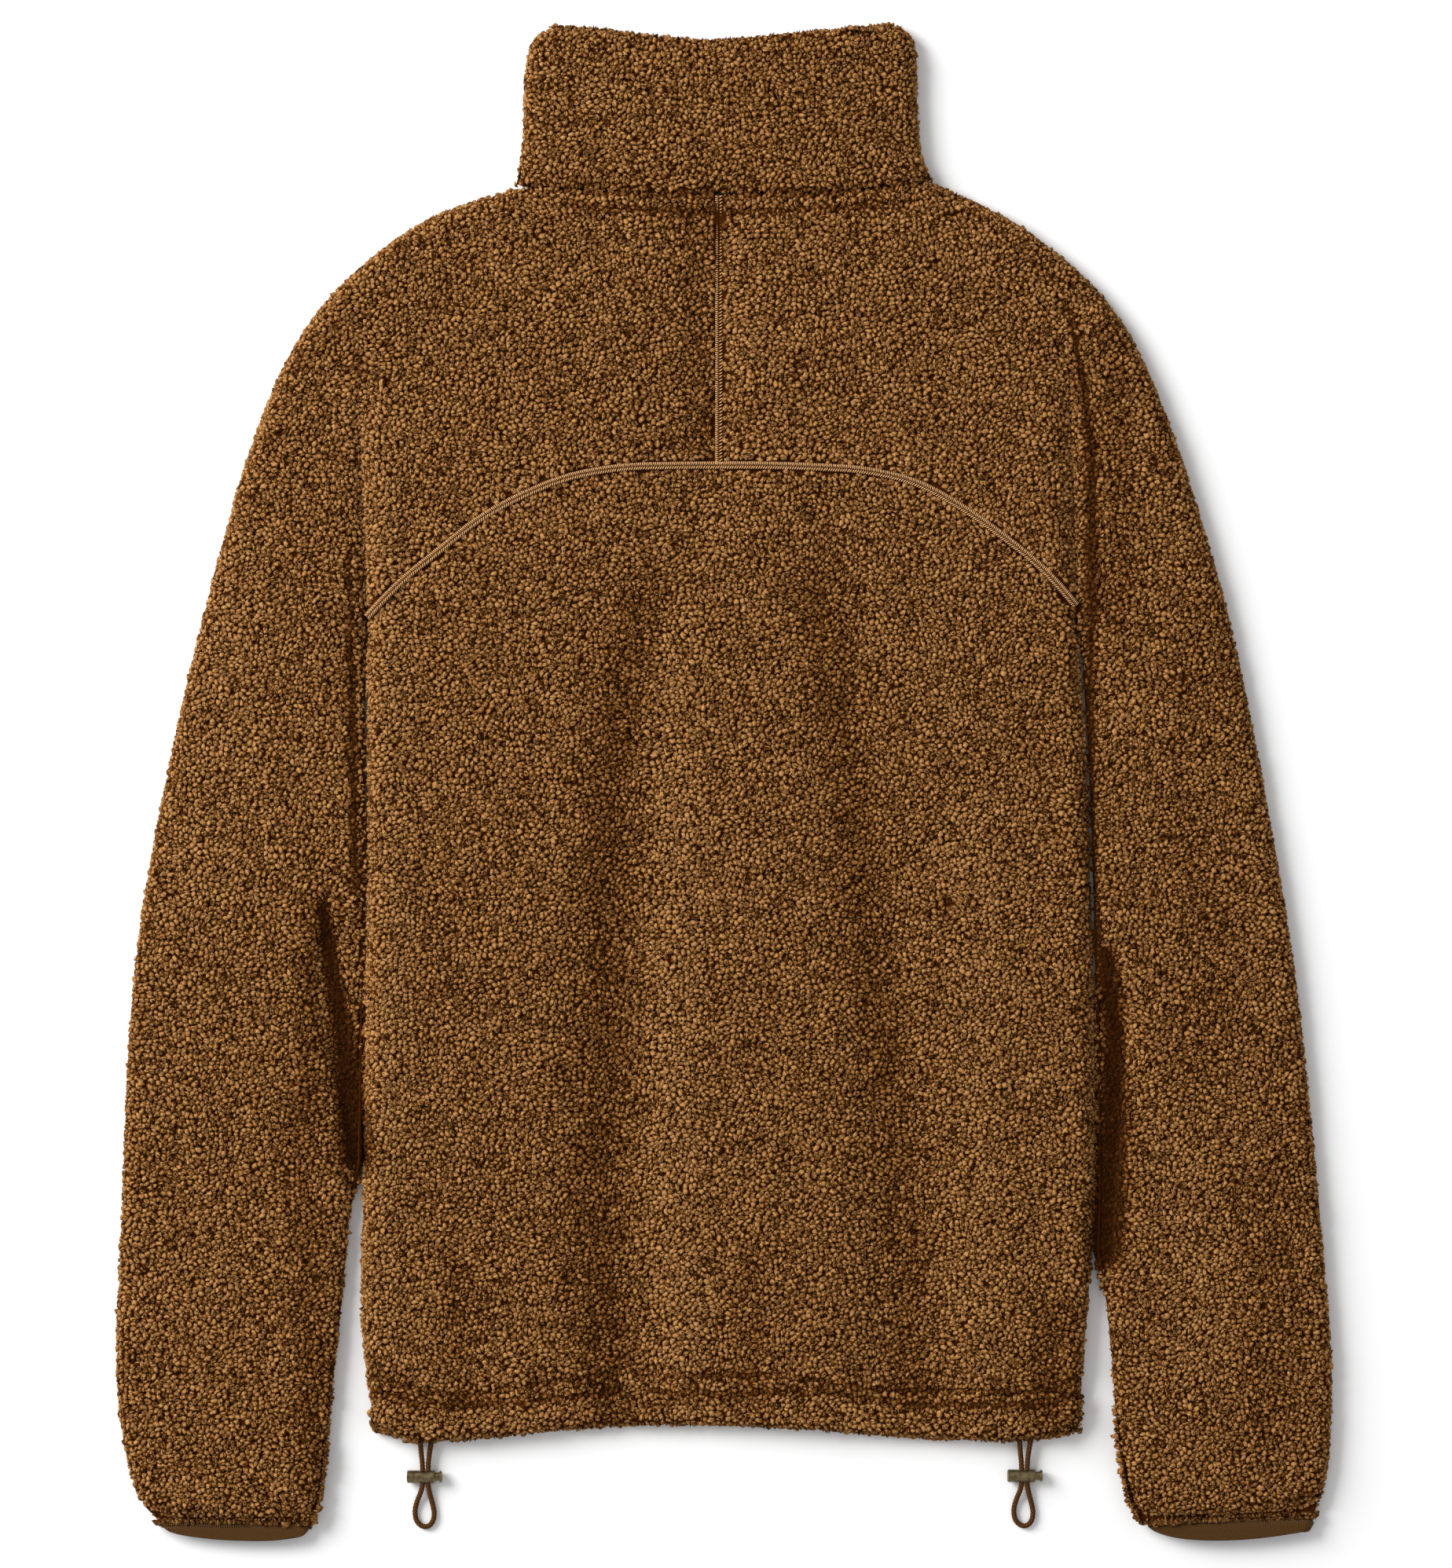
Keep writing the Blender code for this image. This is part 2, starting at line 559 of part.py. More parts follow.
def back_body(material):
    """Lower back: from side seam to side seam, under the arched seam."""
    half = SEAM_GAP / 2.0
    edges = {}
    for side in SIDES:
        x_in = -OUTWARD[side] * 2.0 * half
        low = line_y(hem_line, line_x(body_edge[side], np.array([-362.0]))[0])
        edge = thin_line(between_y(body_edge[side], UNDERARM_Y[side] - 0.4, low))
        edges[side] = shifted(edge, x=x_in)
    arch = np.vstack([arch_points["left"], arch_points["right"][1:]])
    arch = shifted(arch, y=-0.25)
    arch[0], arch[-1] = edges["left"][0], edges["right"][0]
    hem = thin_line(between_x(hem_line, edges["left"][-1, 0], edges["right"][-1, 0]))
    turn = {side: closing(side, edges[side][:, 1]) for side in SIDES}
    ply = make_ply(
        [Border(arch, 0.0), Border(edges["right"], turn["right"]),
         Border(hem[::-1], 0.0), Border(edges["left"][::-1], turn["left"][::-1])],
        back_height, True, (11.0, 40.0), ROLL_ANGLES, 9.0,
        creases=[(shifted(hem, y=2.0), (0.0,)), (shifted(hem, y=HEM_REACH), (0.0,))])
    return wall_object("back_body", [ply], FLEECE_WALL, material)


def front_panel(side, material):
    """Lower front: from the zip to the side seam, resting on the floor."""
    out = OUTWARD[side]
    zip_edge = CENTRE_X + out * ZIP_OPENING / 2.0
    low = line_y(hem_line, line_x(body_edge[side], np.array([-362.0]))[0]) + FRONT_HEM_RISE
    edge = thin_line(between_y(body_edge[side], UNDERARM_Y[side] - 0.4, low))
    edge = shifted(edge, x=-out * SEAM_GAP)
    arch = shifted(arch_points[side], y=-0.25)
    if side == "left":
        arch = arch[::-1]
    arch[0, 0] = zip_edge
    arch[-1] = edge[0, :2]
    hem = between_x(shifted(hem_line, y=FRONT_HEM_RISE), *sorted((zip_edge, edge[-1, 0])))
    hem = thin_line(hem)
    if side == "right":
        hem = hem[::-1]
    turn = closing(side, edge[:, 1])
    rims = np.column_stack([edge[:, :2], (FOLD_HEIGHT - 0.1) * turn])
    ply = make_ply(
        [Border(arch, 0.0), Border(edge, turn), Border(hem, 0.0)],
        under_height([rims]), False, UNDER_GRID, UNDER_ROLL_ANGLES, UNDER_REACH)
    return wall_object("front_" + side, [ply], FLEECE_WALL, material)


def collar(material):
    """Stand collar: one strip from the zip round the back of the neck to the zip."""
    half = SEAM_GAP / 2.0
    fold = {side: thin_line(collar_side[side]) for side in SIDES}
    base = between_x(neck_line, fold["left"][0, 0], fold["right"][0, 0])
    base = shifted(thin_line(base), y=half)
    base[0], base[-1] = fold["left"][0], fold["right"][0]
    top = thin_line(collar_top)
    back = make_ply(
        [Border(base, 0.0), Border(fold["right"], 1.0), Border(top[::-1], 0.0),
         Border(fold["left"][::-1], 1.0)],
        collar_height, True, (20.0, 30.0), ROLL_ANGLES, FOLD_REACH,
        creases=[(shifted(top, y=-2.0), (0.0,)), (shifted(top, y=-HEM_REACH), (0.0,))])
    plies = [back]
    for side in SIDES:
        zip_edge = CENTRE_X + OUTWARD[side] * ZIP_OPENING / 2.0
        ends = sorted((zip_edge, fold[side][0, 0]))
        low = shifted(thin_line(between_x(front_neck(neck_line), *ends)), y=half)
        ends = sorted((zip_edge, fold[side][-1, 0]))
        lowered = thin_line(between_x(front_neck(collar_top), *ends))
        if side == "left":
            low = low[::-1]
        else:
            lowered = lowered[::-1]
        low[-1], lowered[0] = fold[side][0], fold[side][-1]
        plies.append(make_ply(
            [Border(low, 0.0), Border(fold[side], 1.0), Border(lowered, 0.0)],
            under_height([collar_side[side]]), False, UNDER_GRID, UNDER_ROLL_ANGLES,
            UNDER_REACH))
    return wall_object("collar", plies, FLEECE_WALL, material)


# ---- cuff bindings ------------------------------------------------------------------
BINDING_WALL = 1.4
BINDING_TOP = 8.2
BINDING_LOW = 0.6
BINDING_MID = 4.4
BINDING_REACH = 5.0


def cuff_binding(side, material):
    """Woven tape that binds the sleeve's end, flattened with it."""
    out = OUTWARD[side]
    inner, outer = arm_inner[side][-1, :2], arm_fold[side][-1, :2]
    start = inner + (outer - inner) * 0.035
    stop = inner + (outer - inner) * 0.975
    down = np.array([0.0, -SEAM_GAP - 0.1])
    end = thin_line(smooth_line(CUFF_END[side]))
    head = np.array([start + down, stop + down])
    right_fold = np.array([end[-1], start + down])
    left_fold = np.array([stop + down, end[0]])
    folds = [right_fold, left_fold]

    def top(xy):
        gap = np.minimum(nearest(folds[0], xy)[0], nearest(folds[1], xy)[0])
        return BINDING_MID + (BINDING_TOP - BINDING_MID) * rounding(gap, BINDING_REACH)

    def low(xy):
        gap = np.minimum(nearest(folds[0], xy)[0], nearest(folds[1], xy)[0])
        return BINDING_MID + (BINDING_LOW - BINDING_MID) * rounding(gap, BINDING_REACH)

    borders = [Border(head, 0.0), Border(left_fold, 1.0), Border(end, 0.0),
               Border(right_fold, 1.0)]
    plies = [make_ply(borders, top, True, (18.0, 18.0), ROLL_ANGLES, BINDING_REACH),
             make_ply(borders, low, False, (18.0, 18.0), ROLL_ANGLES, BINDING_REACH)]
    return wall_object("cuff_binding_" + side, plies, BINDING_WALL, material)


# ---- zip ----------------------------------------------------------------------------
TAPE_WIDTH = 14.0
TAPE_LOW = 3.5
TAPE_TOP = 4.3
TAPE_SPLIT = 1.6        # from the zip's middle to each tape's inner edge
TAPE_END_LOW = -353.0
TAPE_END_TOP = 383.0
SLIDER_Y = 371.0        # axis of the pull tab
SLIDER_LENGTH = 12.0
SLIDER_HALF_WIDTH = 4.5
SLIDER_TAIL_HALF_WIDTH = 3.4
PLATE = 0.8
PLATE_GAP = 0.4         # between a slider plate and the tape
WEB_HALF_WIDTH = 1.0
BRIDGE_HALF_WIDTH = 0.7
BRIDGE_LOW = 0.15
BRIDGE_BAR = 0.45
BRIDGE_LEG = 1.2
BRIDGE_CLEAR = 1.1      # from the axis to each leg
TAB_THICKNESS = 1.0
TAB_LENGTH = 23.0
TAB_HALF_WIDTH = 3.2
TAB_NECK_HALF_WIDTH = 2.4
TAB_AXIS_Z = 1.35
SLOT_HALF_WIDTH = 1.3
SLOT_LENGTH = 3.2


def prism(outline, low, high):
    """Points and faces of a flat outline, given anticlockwise, raised from low to high."""
    count = len(outline)
    points = [(x, y, low) for x, y in outline] + [(x, y, high) for x, y in outline]
    faces = [tuple(reversed(range(count))), tuple(range(count, 2 * count))]
    for i in range(count):
        j = (i + 1) % count
        faces.append((i, j, j + count, i + count))
    return np.array(points), faces


def block(low, high):
    outline = [(low[0], low[1]), (high[0], low[1]), (high[0], high[1]), (low[0], high[1])]
    return prism(outline, low[2], high[2])


def combine(piece, shape, operation):
    """Adds a shape to a piece, or cuts it away, with a Boolean modifier."""
    points, faces = shape
    tool = make_object(piece.name + ".tool", points * MM, faces, piece.data.materials[0])
    tool.hide_render = True
    tool.display_type = "WIRE"
    step = piece.modifiers.new(operation.lower(), "BOOLEAN")
    step.operation = operation
    step.object = tool


def flat_shaded(piece):
    piece.data.shade_flat()
    return piece


def zip_tape(side, material):
    out = OUTWARD[side]
    edges = sorted((CENTRE_X + out * TAPE_SPLIT, CENTRE_X + out * (TAPE_SPLIT + TAPE_WIDTH)))
    points, faces = block((edges[0], TAPE_END_LOW, TAPE_LOW), (edges[1], TAPE_END_TOP, TAPE_TOP))
    flat_shaded(make_object("zip_tape_" + side, points * MM, faces, material))


def zip_slider(material):
    """Slider at the top of the closed zip, with the bridge that holds the pull tab."""
    tail, head = SLIDER_Y - SLIDER_LENGTH / 2.0, SLIDER_Y + SLIDER_LENGTH / 2.0
    shield = [(CENTRE_X - SLIDER_TAIL_HALF_WIDTH, tail),
              (CENTRE_X + SLIDER_TAIL_HALF_WIDTH, tail),
              (CENTRE_X + SLIDER_HALF_WIDTH, head - 2.5),
              (CENTRE_X + SLIDER_TAIL_HALF_WIDTH, head),
              (CENTRE_X - SLIDER_TAIL_HALF_WIDTH, head),
              (CENTRE_X - SLIDER_HALF_WIDTH, head - 2.5)]
    low_plate = TAPE_LOW - PLATE_GAP - PLATE
    top_plate = TAPE_TOP + PLATE_GAP
    points, faces = prism(shield, low_plate, low_plate + PLATE)
    slider = flat_shaded(make_object("zip_slider", points * MM, faces, material))
    sunk = PLATE / 2.0
    combine(slider, block((CENTRE_X - WEB_HALF_WIDTH, tail + 1.0, low_plate + sunk),
                          (CENTRE_X + WEB_HALF_WIDTH, head - 1.0, top_plate + sunk)), "UNION")
    combine(slider, prism(shield, top_plate, top_plate + PLATE), "UNION")
    for sign in (-1.0, 1.0):
        near, far = sorted((SLIDER_Y + sign * BRIDGE_CLEAR,
                            SLIDER_Y + sign * (BRIDGE_CLEAR + BRIDGE_LEG)))
        combine(slider, block(
            (CENTRE_X - BRIDGE_HALF_WIDTH, near, BRIDGE_LOW),
            (CENTRE_X + BRIDGE_HALF_WIDTH, far, low_plate + sunk)), "UNION")
    reach = BRIDGE_CLEAR + BRIDGE_LEG / 2.0
    combine(slider, block(
        (CENTRE_X - BRIDGE_HALF_WIDTH - 0.1, SLIDER_Y - reach, BRIDGE_LOW - 0.05),
        (CENTRE_X + BRIDGE_HALF_WIDTH + 0.1, SLIDER_Y + reach, BRIDGE_LOW + BRIDGE_BAR)),
        "UNION")


def zip_pull_tab(material):
    """Flat pull tab whose end bar lies in the slider's bridge; its origin is the axis."""
    half = TAB_THICKNESS / 2.0
    round_end = [(TAB_HALF_WIDTH * math.cos(a), -TAB_LENGTH + TAB_HALF_WIDTH * (1.0 + math.sin(a)))
                 for a in np.linspace(math.pi, 2.0 * math.pi, 9)]
    outline = round_end + [
        (TAB_HALF_WIDTH, -SLOT_LENGTH - 3.0), (TAB_NECK_HALF_WIDTH, -SLOT_LENGTH),
        (TAB_NECK_HALF_WIDTH, half), (-TAB_NECK_HALF_WIDTH, half),
        (-TAB_NECK_HALF_WIDTH, -SLOT_LENGTH), (-TAB_HALF_WIDTH, -SLOT_LENGTH - 3.0)]
    points, faces = prism(outline, -half, half)
    tab = flat_shaded(make_object("zip_pull_tab", points * MM, faces, material))
    combine(tab, block((-SLOT_HALF_WIDTH, -half - SLOT_LENGTH, -1.0),
                       (SLOT_HALF_WIDTH, -half, 1.0)), "DIFFERENCE")
    place = Vector((CENTRE_X, SLIDER_Y, TAB_AXIS_Z)) * MM
    tab.location = place
    tab.modifiers[0].object.location = place


# ---- drawcords and their locks ------------------------------------------------------
CORD_DIAMETER = 2.8
CORD_STEP = 6.5         # between the points of a cord's tube
LOCK_Y = {"left": -389.0, "right": -388.5}
STRAND_X = {"left": -167.6, "right": 168.1}
BARREL_X = {"left": -177.9, "right": 158.6}     # closed end of the barrel
BARREL_RADIUS = 3.6
BARREL_LENGTH = 15.8
BORE_RADIUS = 2.8
BORE_FLOOR = 1.6
STEM_RADIUS = 2.5
STEM_START = 4.3        # from the barrel's closed end
NECK_LENGTH = 2.4
HEAD_RADIUS = 3.3
HEAD_LENGTH = 1.6
PLUNGER_TRAVEL = 2.2
CORD_SLOT_HALF_WIDTH = 3.3
CORD_SLOT_HALF_HEIGHT = 1.7
LOCK_SEGMENTS = 24

# Route of each loop, mm: x from the middle of the strands, y from the lock, height
LOOP = (
    (-2.8, 34.0, 4.6), (-2.8, 27.0, 4.6), (-2.7, 20.0, 4.6), (-2.3, 14.0, 4.3),
    (-1.7, 8.0, 3.75), (-1.55, 4.2, 3.6), (-1.55, 0.0, 3.6), (-1.55, -4.2, 3.55),
    (-2.5, -8.5, 2.9), (-4.3, -13.0, 2.0), (-5.6, -17.5, 1.5), (-5.8, -21.0, 1.45),
    (-4.9, -24.8, 1.45), (-2.6, -27.4, 1.45), (0.0, -28.2, 1.45), (2.5, -27.3, 1.45),
    (4.3, -24.6, 1.45), (4.9, -20.8, 1.45), (4.4, -17.2, 1.5), (3.3, -12.8, 2.0),
    (2.2, -8.4, 2.9), (1.55, -4.2, 3.55), (1.55, 0.0, 3.6), (1.55, 4.2, 3.6),
    (1.75, 8.0, 3.75), (2.5, 14.0, 4.3), (3.4, 20.0, 4.6), (3.7, 27.0, 4.6),
    (3.7, 34.0, 4.6))


def turned(profile, segments=LOCK_SEGMENTS):
    """Points and faces of a profile (x, radius) turned about the X axis."""
    points, faces, rings = [], [], []
    for x, radius in profile:
        if radius == 0.0:
            rings.append([len(points)] * segments)
            points.append((x, 0.0, 0.0))
            continue
        rings.append(list(range(len(points), len(points) + segments)))
        for k in range(segments):
            a = 2.0 * math.pi * k / segments
            points.append((x, radius * math.cos(a), radius * math.sin(a)))
    for one, two in zip(rings[:-1], rings[1:]):
        for k in range(segments):
            n = (k + 1) % segments
            corners = [one[k], two[k], two[n], one[n]]
            face = [c for i, c in enumerate(corners) if c not in corners[:i]]
            faces.append(tuple(reversed(face)))
    return np.array(points), faces


def cord_lock(side, material):
    """Barrel and spring plunger, both slotted for the two strands of the cord."""
    start = BARREL_X[side]
    end = start + BARREL_LENGTH
    slot_low = STRAND_X[side] - CORD_SLOT_HALF_WIDTH
    slot_high = STRAND_X[side] + CORD_SLOT_HALF_WIDTH
    half = CORD_SLOT_HALF_HEIGHT
    wide = BARREL_RADIUS + 1.0
    barrel = turned(((start, 0.0), (start, 3.0), (start + 0.6, BARREL_RADIUS),
                     (end - 0.5, BARREL_RADIUS), (end, 3.2), (end, BORE_RADIUS),
                     (start + BORE_FLOOR, BORE_RADIUS), (start + BORE_FLOOR, 0.0)))
    neck = end + NECK_LENGTH
    stem = turned(((start + STEM_START, 0.0), (start + STEM_START, STEM_RADIUS),
                   (neck, STEM_RADIUS), (neck, HEAD_RADIUS),
                   (neck + HEAD_LENGTH - 0.4, HEAD_RADIUS), (neck + HEAD_LENGTH, 2.6),
                   (neck + HEAD_LENGTH, 0.0)))
    shift = np.array([0.0, LOCK_Y[side], BARREL_RADIUS])
    for name, shape, travel in (("cord_lock_barrel_", barrel, 0.0),
                                ("cord_lock_plunger_", stem, PLUNGER_TRAVEL)):
        points, faces = shape
        piece = make_object(name + side, (points + shift) * MM, faces, material)
        piece.data.set_sharp_from_angle(angle=math.radians(35.0))
        slot = block((slot_low, -wide, -half), (slot_high + travel, wide, half))
        combine(piece, (slot[0] + shift, slot[1]), "DIFFERENCE")


def drawcord(side, material):
    """Loop of round cord: out of the hem, through the lock, round and back."""
    route = np.array(LOOP) + [STRAND_X[side], LOCK_Y[side], 0.0]
    line = smooth_line(route, CORD_STEP)
    curve = bpy.data.curves.new("drawcord_" + side, "CURVE")
    curve.dimensions = "3D"
    curve.bevel_depth = CORD_DIAMETER / 2.0 * MM
    curve.bevel_resolution = 2
    curve.use_fill_caps = True
    spline = curve.splines.new("POLY")
    spline.points.add(len(line) - 1)
    for point, place in zip(spline.points, line):
        point.co = (*(place * MM), 1.0)
    curve.materials.append(material)
    cord = bpy.data.objects.new("drawcord_" + side, curve)
    bpy.context.scene.collection.objects.link(cord)


for old in list(bpy.data.objects):
    bpy.data.objects.remove(old, do_unlink=True)

fleece = make_material("curly fleece", (0.150, 0.068, 0.021), 0.95)
binding = make_material("twill binding", (0.080, 0.036, 0.010), 0.85)
tape = make_material("zip tape", (0.060, 0.030, 0.012), 0.9)
brass = make_material("antique brass", (0.160, 0.105, 0.060), 0.4, 1.0)
braid = make_material("braided cord", (0.055, 0.028, 0.012), 0.85)

for name in SIDES:
    sleeve_yoke(name, fleece)
    front_panel(name, fleece)
    cuff_binding(name, binding)
    zip_tape(name, tape)
    cord_lock(name, brass)
    drawcord(name, braid)
back_body(fleece)
collar(fleece)
zip_slider(brass)
zip_pull_tab(brass)
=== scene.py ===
"""Looks of a stand-collar jacket of curly fleece, lying flat on its front.

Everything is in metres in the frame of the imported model: +Z up, collar towards +Y, the
wearer's left side towards -X. Each cloth piece takes its form from its own CAD solid.
"""
import math

import bmesh
import bpy
import numpy as np
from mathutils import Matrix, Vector
from mathutils.bvhtree import BVHTree
from mathutils.kdtree import KDTree


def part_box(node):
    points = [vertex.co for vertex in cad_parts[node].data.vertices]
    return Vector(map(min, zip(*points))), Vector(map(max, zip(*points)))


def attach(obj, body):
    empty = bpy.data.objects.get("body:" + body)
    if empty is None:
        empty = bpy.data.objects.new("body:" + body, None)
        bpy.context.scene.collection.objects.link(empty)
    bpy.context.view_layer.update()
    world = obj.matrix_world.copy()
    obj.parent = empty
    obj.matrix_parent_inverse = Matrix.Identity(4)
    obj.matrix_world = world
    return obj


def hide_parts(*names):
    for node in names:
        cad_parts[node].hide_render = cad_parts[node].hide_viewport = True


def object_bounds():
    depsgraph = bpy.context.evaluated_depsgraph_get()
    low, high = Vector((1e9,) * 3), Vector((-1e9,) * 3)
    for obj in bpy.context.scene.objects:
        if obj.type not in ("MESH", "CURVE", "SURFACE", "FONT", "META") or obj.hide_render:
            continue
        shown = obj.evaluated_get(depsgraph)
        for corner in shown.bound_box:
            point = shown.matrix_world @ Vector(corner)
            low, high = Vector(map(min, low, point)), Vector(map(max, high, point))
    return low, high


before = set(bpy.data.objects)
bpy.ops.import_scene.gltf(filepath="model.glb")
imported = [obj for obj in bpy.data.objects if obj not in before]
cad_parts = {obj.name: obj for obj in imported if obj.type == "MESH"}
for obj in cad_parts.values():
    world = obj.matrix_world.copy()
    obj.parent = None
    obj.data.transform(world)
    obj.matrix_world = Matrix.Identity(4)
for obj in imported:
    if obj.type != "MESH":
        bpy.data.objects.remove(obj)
cad_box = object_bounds()
MM = 0.001
SIDES = ("left", "right")

# ---- camera -------------------------------------------------------------------------
# Straight above the jacket with its collar up the picture. The lens is long and far
# off, so the sides of the sleeves and the collar don't lean.
CAMERA_HEIGHT = 5.0
VIEW_MARGIN = 14.3 * MM         # above the collar and below the cuffs
VIEW_SHIFT = (1.2 * MM, -0.4 * MM)
low, high = cad_box
view_length = high.y - low.y + 2.0 * VIEW_MARGIN
camera_data = bpy.data.cameras.new("camera")
camera_data.lens = camera_data.sensor_width * (CAMERA_HEIGHT - high.z / 2.0) / view_length
camera = bpy.data.objects.new("camera", camera_data)
camera.location = ((low.x + high.x) / 2.0 + VIEW_SHIFT[0],
                   (low.y + high.y) / 2.0 + VIEW_SHIFT[1], CAMERA_HEIGHT)
bpy.context.scene.collection.objects.link(camera)
bpy.context.scene.camera = camera

# ---- drawcords ----------------------------------------------------------------------
# Round cord of eight braided polyester strands, 2.8 mm thick. Each loop comes out of
# the hem's channel, passes through its lock, turns and goes back in.
CORD_DIAMETER = 2.8 * MM
LOCK_Y = {"left": -389.0, "right": -388.5}
STRAND_X = {"left": -167.6, "right": 168.1}
LOOP = (                # mm: x from the middle of the strands, y from the lock, height
    (-2.8, 34.0, 4.6), (-2.8, 27.0, 4.6), (-2.7, 20.0, 4.6), (-2.3, 14.0, 4.3),
    (-1.7, 8.0, 3.75), (-1.55, 4.2, 3.6), (-1.55, 0.0, 3.6), (-1.55, -4.2, 3.55),
    (-2.5, -8.5, 2.9), (-4.3, -13.0, 2.0), (-5.6, -17.5, 1.5), (-5.8, -21.0, 1.45),
    (-4.9, -24.8, 1.45), (-2.6, -27.4, 1.45), (0.0, -28.2, 1.45), (2.5, -27.3, 1.45),
    (4.3, -24.6, 1.45), (4.9, -20.8, 1.45), (4.4, -17.2, 1.5), (3.3, -12.8, 2.0),
    (2.2, -8.4, 2.9), (1.55, -4.2, 3.55), (1.55, 0.0, 3.6), (1.55, 4.2, 3.6),
    (1.75, 8.0, 3.75), (2.5, 14.0, 4.3), (3.4, 20.0, 4.6), (3.7, 27.0, 4.6),
    (3.7, 34.0, 4.6))
BRAID_STEP = 0.4 * MM           # between the rings of the cord's mesh
BRAID_SIDES = 16
BRAID_PITCH = 7.5 * MM          # one turn of a strand round the cord
BRAID_STRANDS = 4               # that wind each way
BRAID_RELIEF = (0.93, 0.14)     # its radius in a gap, and the rise of a strand above that


def smooth_route(points, step):
    """Points every step along a centripetal Catmull-Rom curve."""
    p = np.array(points, float)
    p = np.vstack([2.0 * p[0] - p[1], p, 2.0 * p[-1] - p[-2]])
    line = []
    for i in range(1, len(p) - 2):
        gaps = [max(np.linalg.norm(p[i + k] - p[i + k - 1]), 1e-9) ** 0.5 for k in range(3)]
        t1 = gaps[0]
        t2 = t1 + gaps[1]
        t3 = t2 + gaps[2]
        count = max(int(round(np.linalg.norm(p[i + 1] - p[i]) / step)), 1)
        for t in np.linspace(t1, t2, count, endpoint=False):
            a1 = ((t1 - t) * p[i - 1] + t * p[i]) / t1
            a2 = ((t2 - t) * p[i] + (t - t1) * p[i + 1]) / (t2 - t1)
            a3 = ((t3 - t) * p[i + 1] + (t - t2) * p[i + 2]) / (t3 - t2)
            b1 = ((t2 - t) * a1 + t * a2) / t2
            b2 = ((t3 - t) * a2 + (t - t1) * a3) / (t3 - t1)
            line.append(((t2 - t) * b1 + (t - t1) * b2) / (t2 - t1))
    line.append(p[-2])
    return np.array(line)


def unit(vectors):
    """The vectors at a length of one."""
    return vectors / np.maximum(np.linalg.norm(vectors, axis=-1, keepdims=True), 1e-12)


def make_piece(name, points, faces, material, attributes=None, smooth=True):
    """A mesh object of those points and faces, with values kept at its points."""
    mesh = bpy.data.meshes.new(name)
    mesh.from_pydata(np.asarray(points).tolist(), [], np.asarray(faces).tolist()
                     if isinstance(faces, np.ndarray) else faces)
    if smooth:
        mesh.shade_smooth()
    for key, values in (attributes or {}).items():
        layer = mesh.attributes.new(key, "FLOAT", "POINT")
        layer.data.foreach_set("value", np.asarray(values, np.float32))
    mesh.materials.append(material)
    piece = bpy.data.objects.new(name, mesh)
    bpy.context.scene.collection.objects.link(piece)
    return piece


def ring_frames(line):
    """Two directions across a line at each of its points, for the rings of a tube."""
    along = unit(np.gradient(line, axis=0))
    side = unit(np.cross(along, [0.0, 0.0, 1.0]))
    return side, np.cross(side, along)


def tube_faces(rings, sides):
    """Quads between the rings of a tube, and a face on each end."""
    faces = []
    for r in range(rings - 1):
        for k in range(sides):
            n = (k + 1) % sides
            faces.append((r * sides + k, r * sides + n, (r + 1) * sides + n, (r + 1) * sides + k))
    faces.append(tuple(range(sides))[::-1])
    faces.append(tuple((rings - 1) * sides + k for k in range(sides)))
    return faces


def linear(hex_colour):
    """An sRGB hex colour as linear RGBA."""
    values = [int(hex_colour[i:i + 2], 16) / 255.0 for i in (1, 3, 5)]
    return [v / 12.92 if v <= 0.04045 else ((v + 0.055) / 1.055) ** 2.4 for v in values] + [1.0]


def start_material(name, **settings):
    """A new material, and its Principled BSDF with those socket values."""
    material = bpy.data.materials.new(name)
    material.use_nodes = True
    shader = material.node_tree.nodes["Principled BSDF"]
    for socket, value in settings.items():
        shader.inputs[socket.replace("_", " ")].default_value = value
    return material, shader


def add_node(material, kind, settings=None, inputs=None):
    """Adds a node: its settings, then its inputs, each a value or a socket to link."""
    tree = material.node_tree
    node = tree.nodes.new(kind)
    for key, value in (settings or {}).items():
        setattr(node, key, value)
    for key, value in (inputs or {}).items():
        if isinstance(value, bpy.types.NodeSocket):
            tree.links.new(value, node.inputs[key])
        else:
            node.inputs[key].default_value = value
    return node


def set_ramp(node, stops):
    """Colours of a Color Ramp: (place, hex) for each stop."""
    ramp = node.color_ramp
    while len(ramp.elements) < len(stops):
        ramp.elements.new(0.5)
    for element, (place, colour) in zip(ramp.elements, stops):
        element.position = place
        element.color = linear(colour)


# Braided polyester: dull dark brown filament yarn. The strands are painted lighter along their
# backs as painted highlight, and almost black where they cross under as painted shade.
braid, shader = start_material("braided polyester cord", Roughness=0.8,
                               Specular_Tint=linear("#9a6a30"))
# Painted shade and highlight: the colour follows each point's height on the braid
depth = add_node(braid, "ShaderNodeAttribute", {"attribute_name": "strand"})
tone = add_node(braid, "ShaderNodeValToRGB", inputs={"Fac": depth.outputs["Fac"]})
set_ramp(tone, ((0.0, "#140800"), (0.45, "#38200d"), (1.0, "#664325")))
braid.node_tree.links.new(tone.outputs["Color"], shader.inputs["Base Color"])

